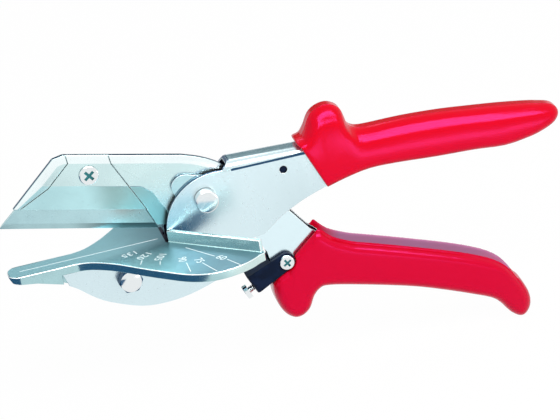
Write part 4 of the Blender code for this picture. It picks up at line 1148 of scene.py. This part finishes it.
class SHEARS_OT_blade(bpy.types.Operator):
    """Makes the blade, its holder and its clamp plate"""

    bl_idname = "shears.make_blade"
    bl_label = "Blade and holder"

    def execute(self, context):
        sizes = settings().sizes
        ground = ("ground_blade", "ground_bevel", "worn_edge")
        make_worked(
            "ground_trapezoid_blade", "blade", "blade_side", "blade_steel", ground, self.side_of_blade,
            sizes.blade_edge, 20, segments=1,
        )
        cast = ("holder_casting", "holder_low", "sheet_cut", "worn_edge", "holder_casting")
        both = (("holder_casting", "blade_holder", 2, 20), ("clamp_casting", "blade_clamp_plate", 3, 32))
        for name, node, share, angle in both:
            edge = sizes.cast_edge / share
            make_worked(name, node, "blade_side", "satin_casting", cast, self.side_of_holder, edge, angle)
        return {"FINISHED"}

    def side_of_blade(self, normal, centre):
        """0 for the flat sides and the back, 1 for the ground bevels."""
        return 1 if 0.9 < abs(normal.y) < 0.999 else 0

    def side_of_holder(self, normal, centre):
        """0 for the flat sides, 1 for the tapered lower faces, with a painted reflection, 2 for walls of
        gaps, painted dark as shade, 3 for the chamfer, painted bright as a highlight.
        """
        tilt = abs(normal.y)
        if tilt > 0.9996:
            return 0
        if tilt > 0.985:
            return 1
        return 3 if tilt > 0.4 else 2


class SHEARS_OT_fasteners(bpy.types.Operator):
    """Makes the pivot rivet, the clamp screw, and the anvil's bolt and nut"""

    bl_idname = "shears.make_fasteners"
    bl_label = "Rivet, screw and bolt"

    def execute(self, context):
        parts = settings().fasteners
        self.make_rivet(parts)
        make_cross_screw(
            "clamp_screw_turned", "clamp_screw", parts.clamp_head, 0.0019, drive=0.62, margin=0.00008, spin=38
        )
        self.make_bolt(parts)
        return {"FINISHED"}

    def make_rivet(self, parts):
        low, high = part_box("pivot_pin")
        centre = middle("pivot_pin")
        seat = parts.rivet_head + 2 * crown_room
        tree = rivet_tree("pivot_rivet", {
            "Head radius": (high.x - low.x) / 2, "Head height": parts.rivet_head,
            "Far height": parts.rivet_far, "Shank radius": 0.0028,
            "Shank length": high.y - low.y - seat - parts.rivet_far - crown_room,
            "Edge round": parts.rivet_round, "Crown": parts.rivet_crown,
        })
        place = (centre.x, low.y + seat, centre.z)
        rivet = from_tree(tree, "zinc_plate", place, to_front, "sheet_cut", on_foot)
        placed(rivet, "anvil_side", "zinc_plate", "pivot_pin")

    def make_bolt(self, parts):
        low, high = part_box("anvil_bolt")
        centre = middle("anvil_bolt")
        flats = high.z - low.z
        seat = parts.bolt_head + crown_room
        tree = hexagon_tree("anvil_bolt_forged", True, {
            "Across flats": flats, "Height": parts.bolt_head, "Shank radius": 0.0024,
            "Shank length": high.y - low.y - seat,
        })
        place = (centre.x, low.y + seat, centre.z)
        bolt = from_tree(tree, "zinc_plate", place, to_front, "sheet_cut", on_side)
        placed(bolt, "anvil_side", "zinc_plate", "anvil_bolt")
        make_nut("anvil_nut_forged", "anvil_nut", "anvil_bolt", "anvil_side", flats, bore=0.00245)


class SHEARS_OT_stop(bpy.types.Operator):
    """Makes the stop block with its screw, nut and adjusting screw"""

    bl_idname = "shears.make_stop"
    bl_label = "Stop block"

    def execute(self, context):
        parts = settings().fasteners
        make_worked(
            "stop_moulding", "stop_block", "blade_side", "black_plastic", ("block_plastic",),
            lambda normal, centre: 0, settings().sizes.block_edge,
        )
        make_cross_screw(
            "stop_screw_turned", "stop_block_screw", parts.stop_head, 0.0016, drive=0.6, margin=0.00016,
            spin=32,
        )
        self.make_adjuster(parts)
        flats = parts.nut_flats
        make_nut("stop_nut_forged", "stop_block_nut", "stop_block_screw", "blade_side", flats, bore=0.00165)
        return {"FINISHED"}

    def make_adjuster(self, parts):
        """The slotted screw, whose thread shows between the block's end and its head."""
        node = "stop_adjusting_screw"
        along = Vector(joint_named("stop_screw_travel")["axis"])
        aside = Vector((-along.z, 0, along.x))
        depth = Vector((0, 1, 0))
        inner, outer = reach_along(node, along)
        left, right = reach_along(node, aside)
        near, far = reach_along(node, depth)
        radius = (right - left) / 2
        seat = parts.adjuster_head + crown_room
        tree = screw_tree("adjuster_turned", False, {
            "Head radius": radius, "Head height": parts.adjuster_head, "Shank radius": 0.00128,
            "Shank length": outer - inner - seat - crown_room, "Drive depth": 0.55, "Drive length": 1.5,
        })
        place = along * (outer - seat) + aside * (left + right) / 2 + depth * (near + far) / 2
        recess = in_recess(radius, parts.adjuster_head - 0.0002)
        screw = from_tree(tree, "zinc_plate", place, along, "drive_recess", recess)
        placed(screw, "stop_screw", "zinc_plate", node)


class SHEARS_OT_small_parts(bpy.types.Operator):
    """Makes the opening spring, and gives the small parts that stay as they are their finish"""

    bl_idname = "shears.make_small_parts"
    bl_label = "Spring and small parts"

    def execute(self, context):
        self.make_spring()
        kept = {
            "zinc_plate": ("anvil_washer", "holder_rivet_front", "holder_rivet_rear"),
            "oiled_steel": ("pivot_bush", "blade_pin_front", "blade_pin_rear"),
            "block_plastic": ("spring_seat_upper", "spring_seat_lower", "spring_pin"),
        }
        for material, nodes in kept.items():
            for node in nodes:
                for slot in frame["nodes"][node].material_slots:
                    slot.link = "OBJECT"
                    slot.material = finish(material)
        return {"FINISHED"}

    def make_spring(self):
        """The coil spring between its seats; how far it would shorten as the handles close is worked out, but
        not used.
        """
        parts = settings().fasteners
        boss = middle("spring_pin")
        points = [point.co for point in frame["nodes"]["opening_spring"].data.vertices]
        down = (sum(points, Vector()) / len(points) - boss).normalized()
        start, stop = [boss + down * (end - boss.dot(down)) for end in reach_along("opening_spring", down)]
        tree = spring_tree("coil_spring", {
            "Turns": float(parts.spring_turns), "Radius": parts.spring_radius, "Wire": parts.spring_wire,
            "Length": (stop - start).length,
        })
        spring = from_tree(tree, "oiled_steel", start, down)
        placed(spring, "anvil_side", "spring_steel", "opening_spring")
        hinge = joint_named("handle_pivot")
        pivot = Vector(hinge["pos_m"])
        turn = Matrix.Rotation(math.radians(hinge["range_deg"][1]), 4, Vector(hinge["axis"]))
        closed = pivot + turn @ (stop - pivot)
        keep = (closed - start).length / (stop - start).length
        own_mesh(spring)


class ShearsSettings(bpy.types.PropertyGroup):
    colours: PointerProperty(name="Colours", description="Colours of the finishes", type=ShearsColours)
    sizes: PointerProperty(name="Sizes", description="Sizes of edges and the scale", type=ShearsSizes)
    fasteners: PointerProperty(name="Fasteners", description="Sizes of turned parts", type=ShearsFasteners)


steps = (
    SHEARS_OT_stage, SHEARS_OT_plates, SHEARS_OT_grips, SHEARS_OT_anvil, SHEARS_OT_scale, SHEARS_OT_blade,
    SHEARS_OT_fasteners, SHEARS_OT_stop, SHEARS_OT_small_parts,
)


class SHEARS_PT_panel(bpy.types.Panel):
    """Lists the shears' pieces in the order in which they are made"""

    bl_idname = "SHEARS_PT_panel"
    bl_label = "Mitre shears"
    bl_space_type = "VIEW_3D"
    bl_region_type = "UI"
    bl_category = "Mitre shears"

    def draw(self, context):
        for step in steps:
            self.layout.operator(step.bl_idname)
        for group in (settings().colours, settings().sizes, settings().fasteners):
            box = self.layout.box()
            for name in group.__annotations__:
                box.prop(group, name)


classes = (ShearsColours, ShearsSizes, ShearsFasteners, ShearsSettings, *steps, SHEARS_PT_panel)


def register():
    for made in classes:
        bpy.utils.register_class(made)
    bpy.types.Scene.shears = PointerProperty(type=ShearsSettings)


def unregister():
    del bpy.types.Scene.shears
    for made in reversed(classes):
        bpy.utils.unregister_class(made)


def main():
    register()
    bpy.ops.shears.make_stage()
    bpy.ops.shears.make_plates()
    bpy.ops.shears.make_grips()
    bpy.ops.shears.make_anvil()
    bpy.ops.shears.make_scale()
    bpy.ops.shears.make_blade()
    bpy.ops.shears.make_fasteners()
    bpy.ops.shears.make_stop()
    bpy.ops.shears.make_small_parts()


if __name__ == "__main__":
    main()
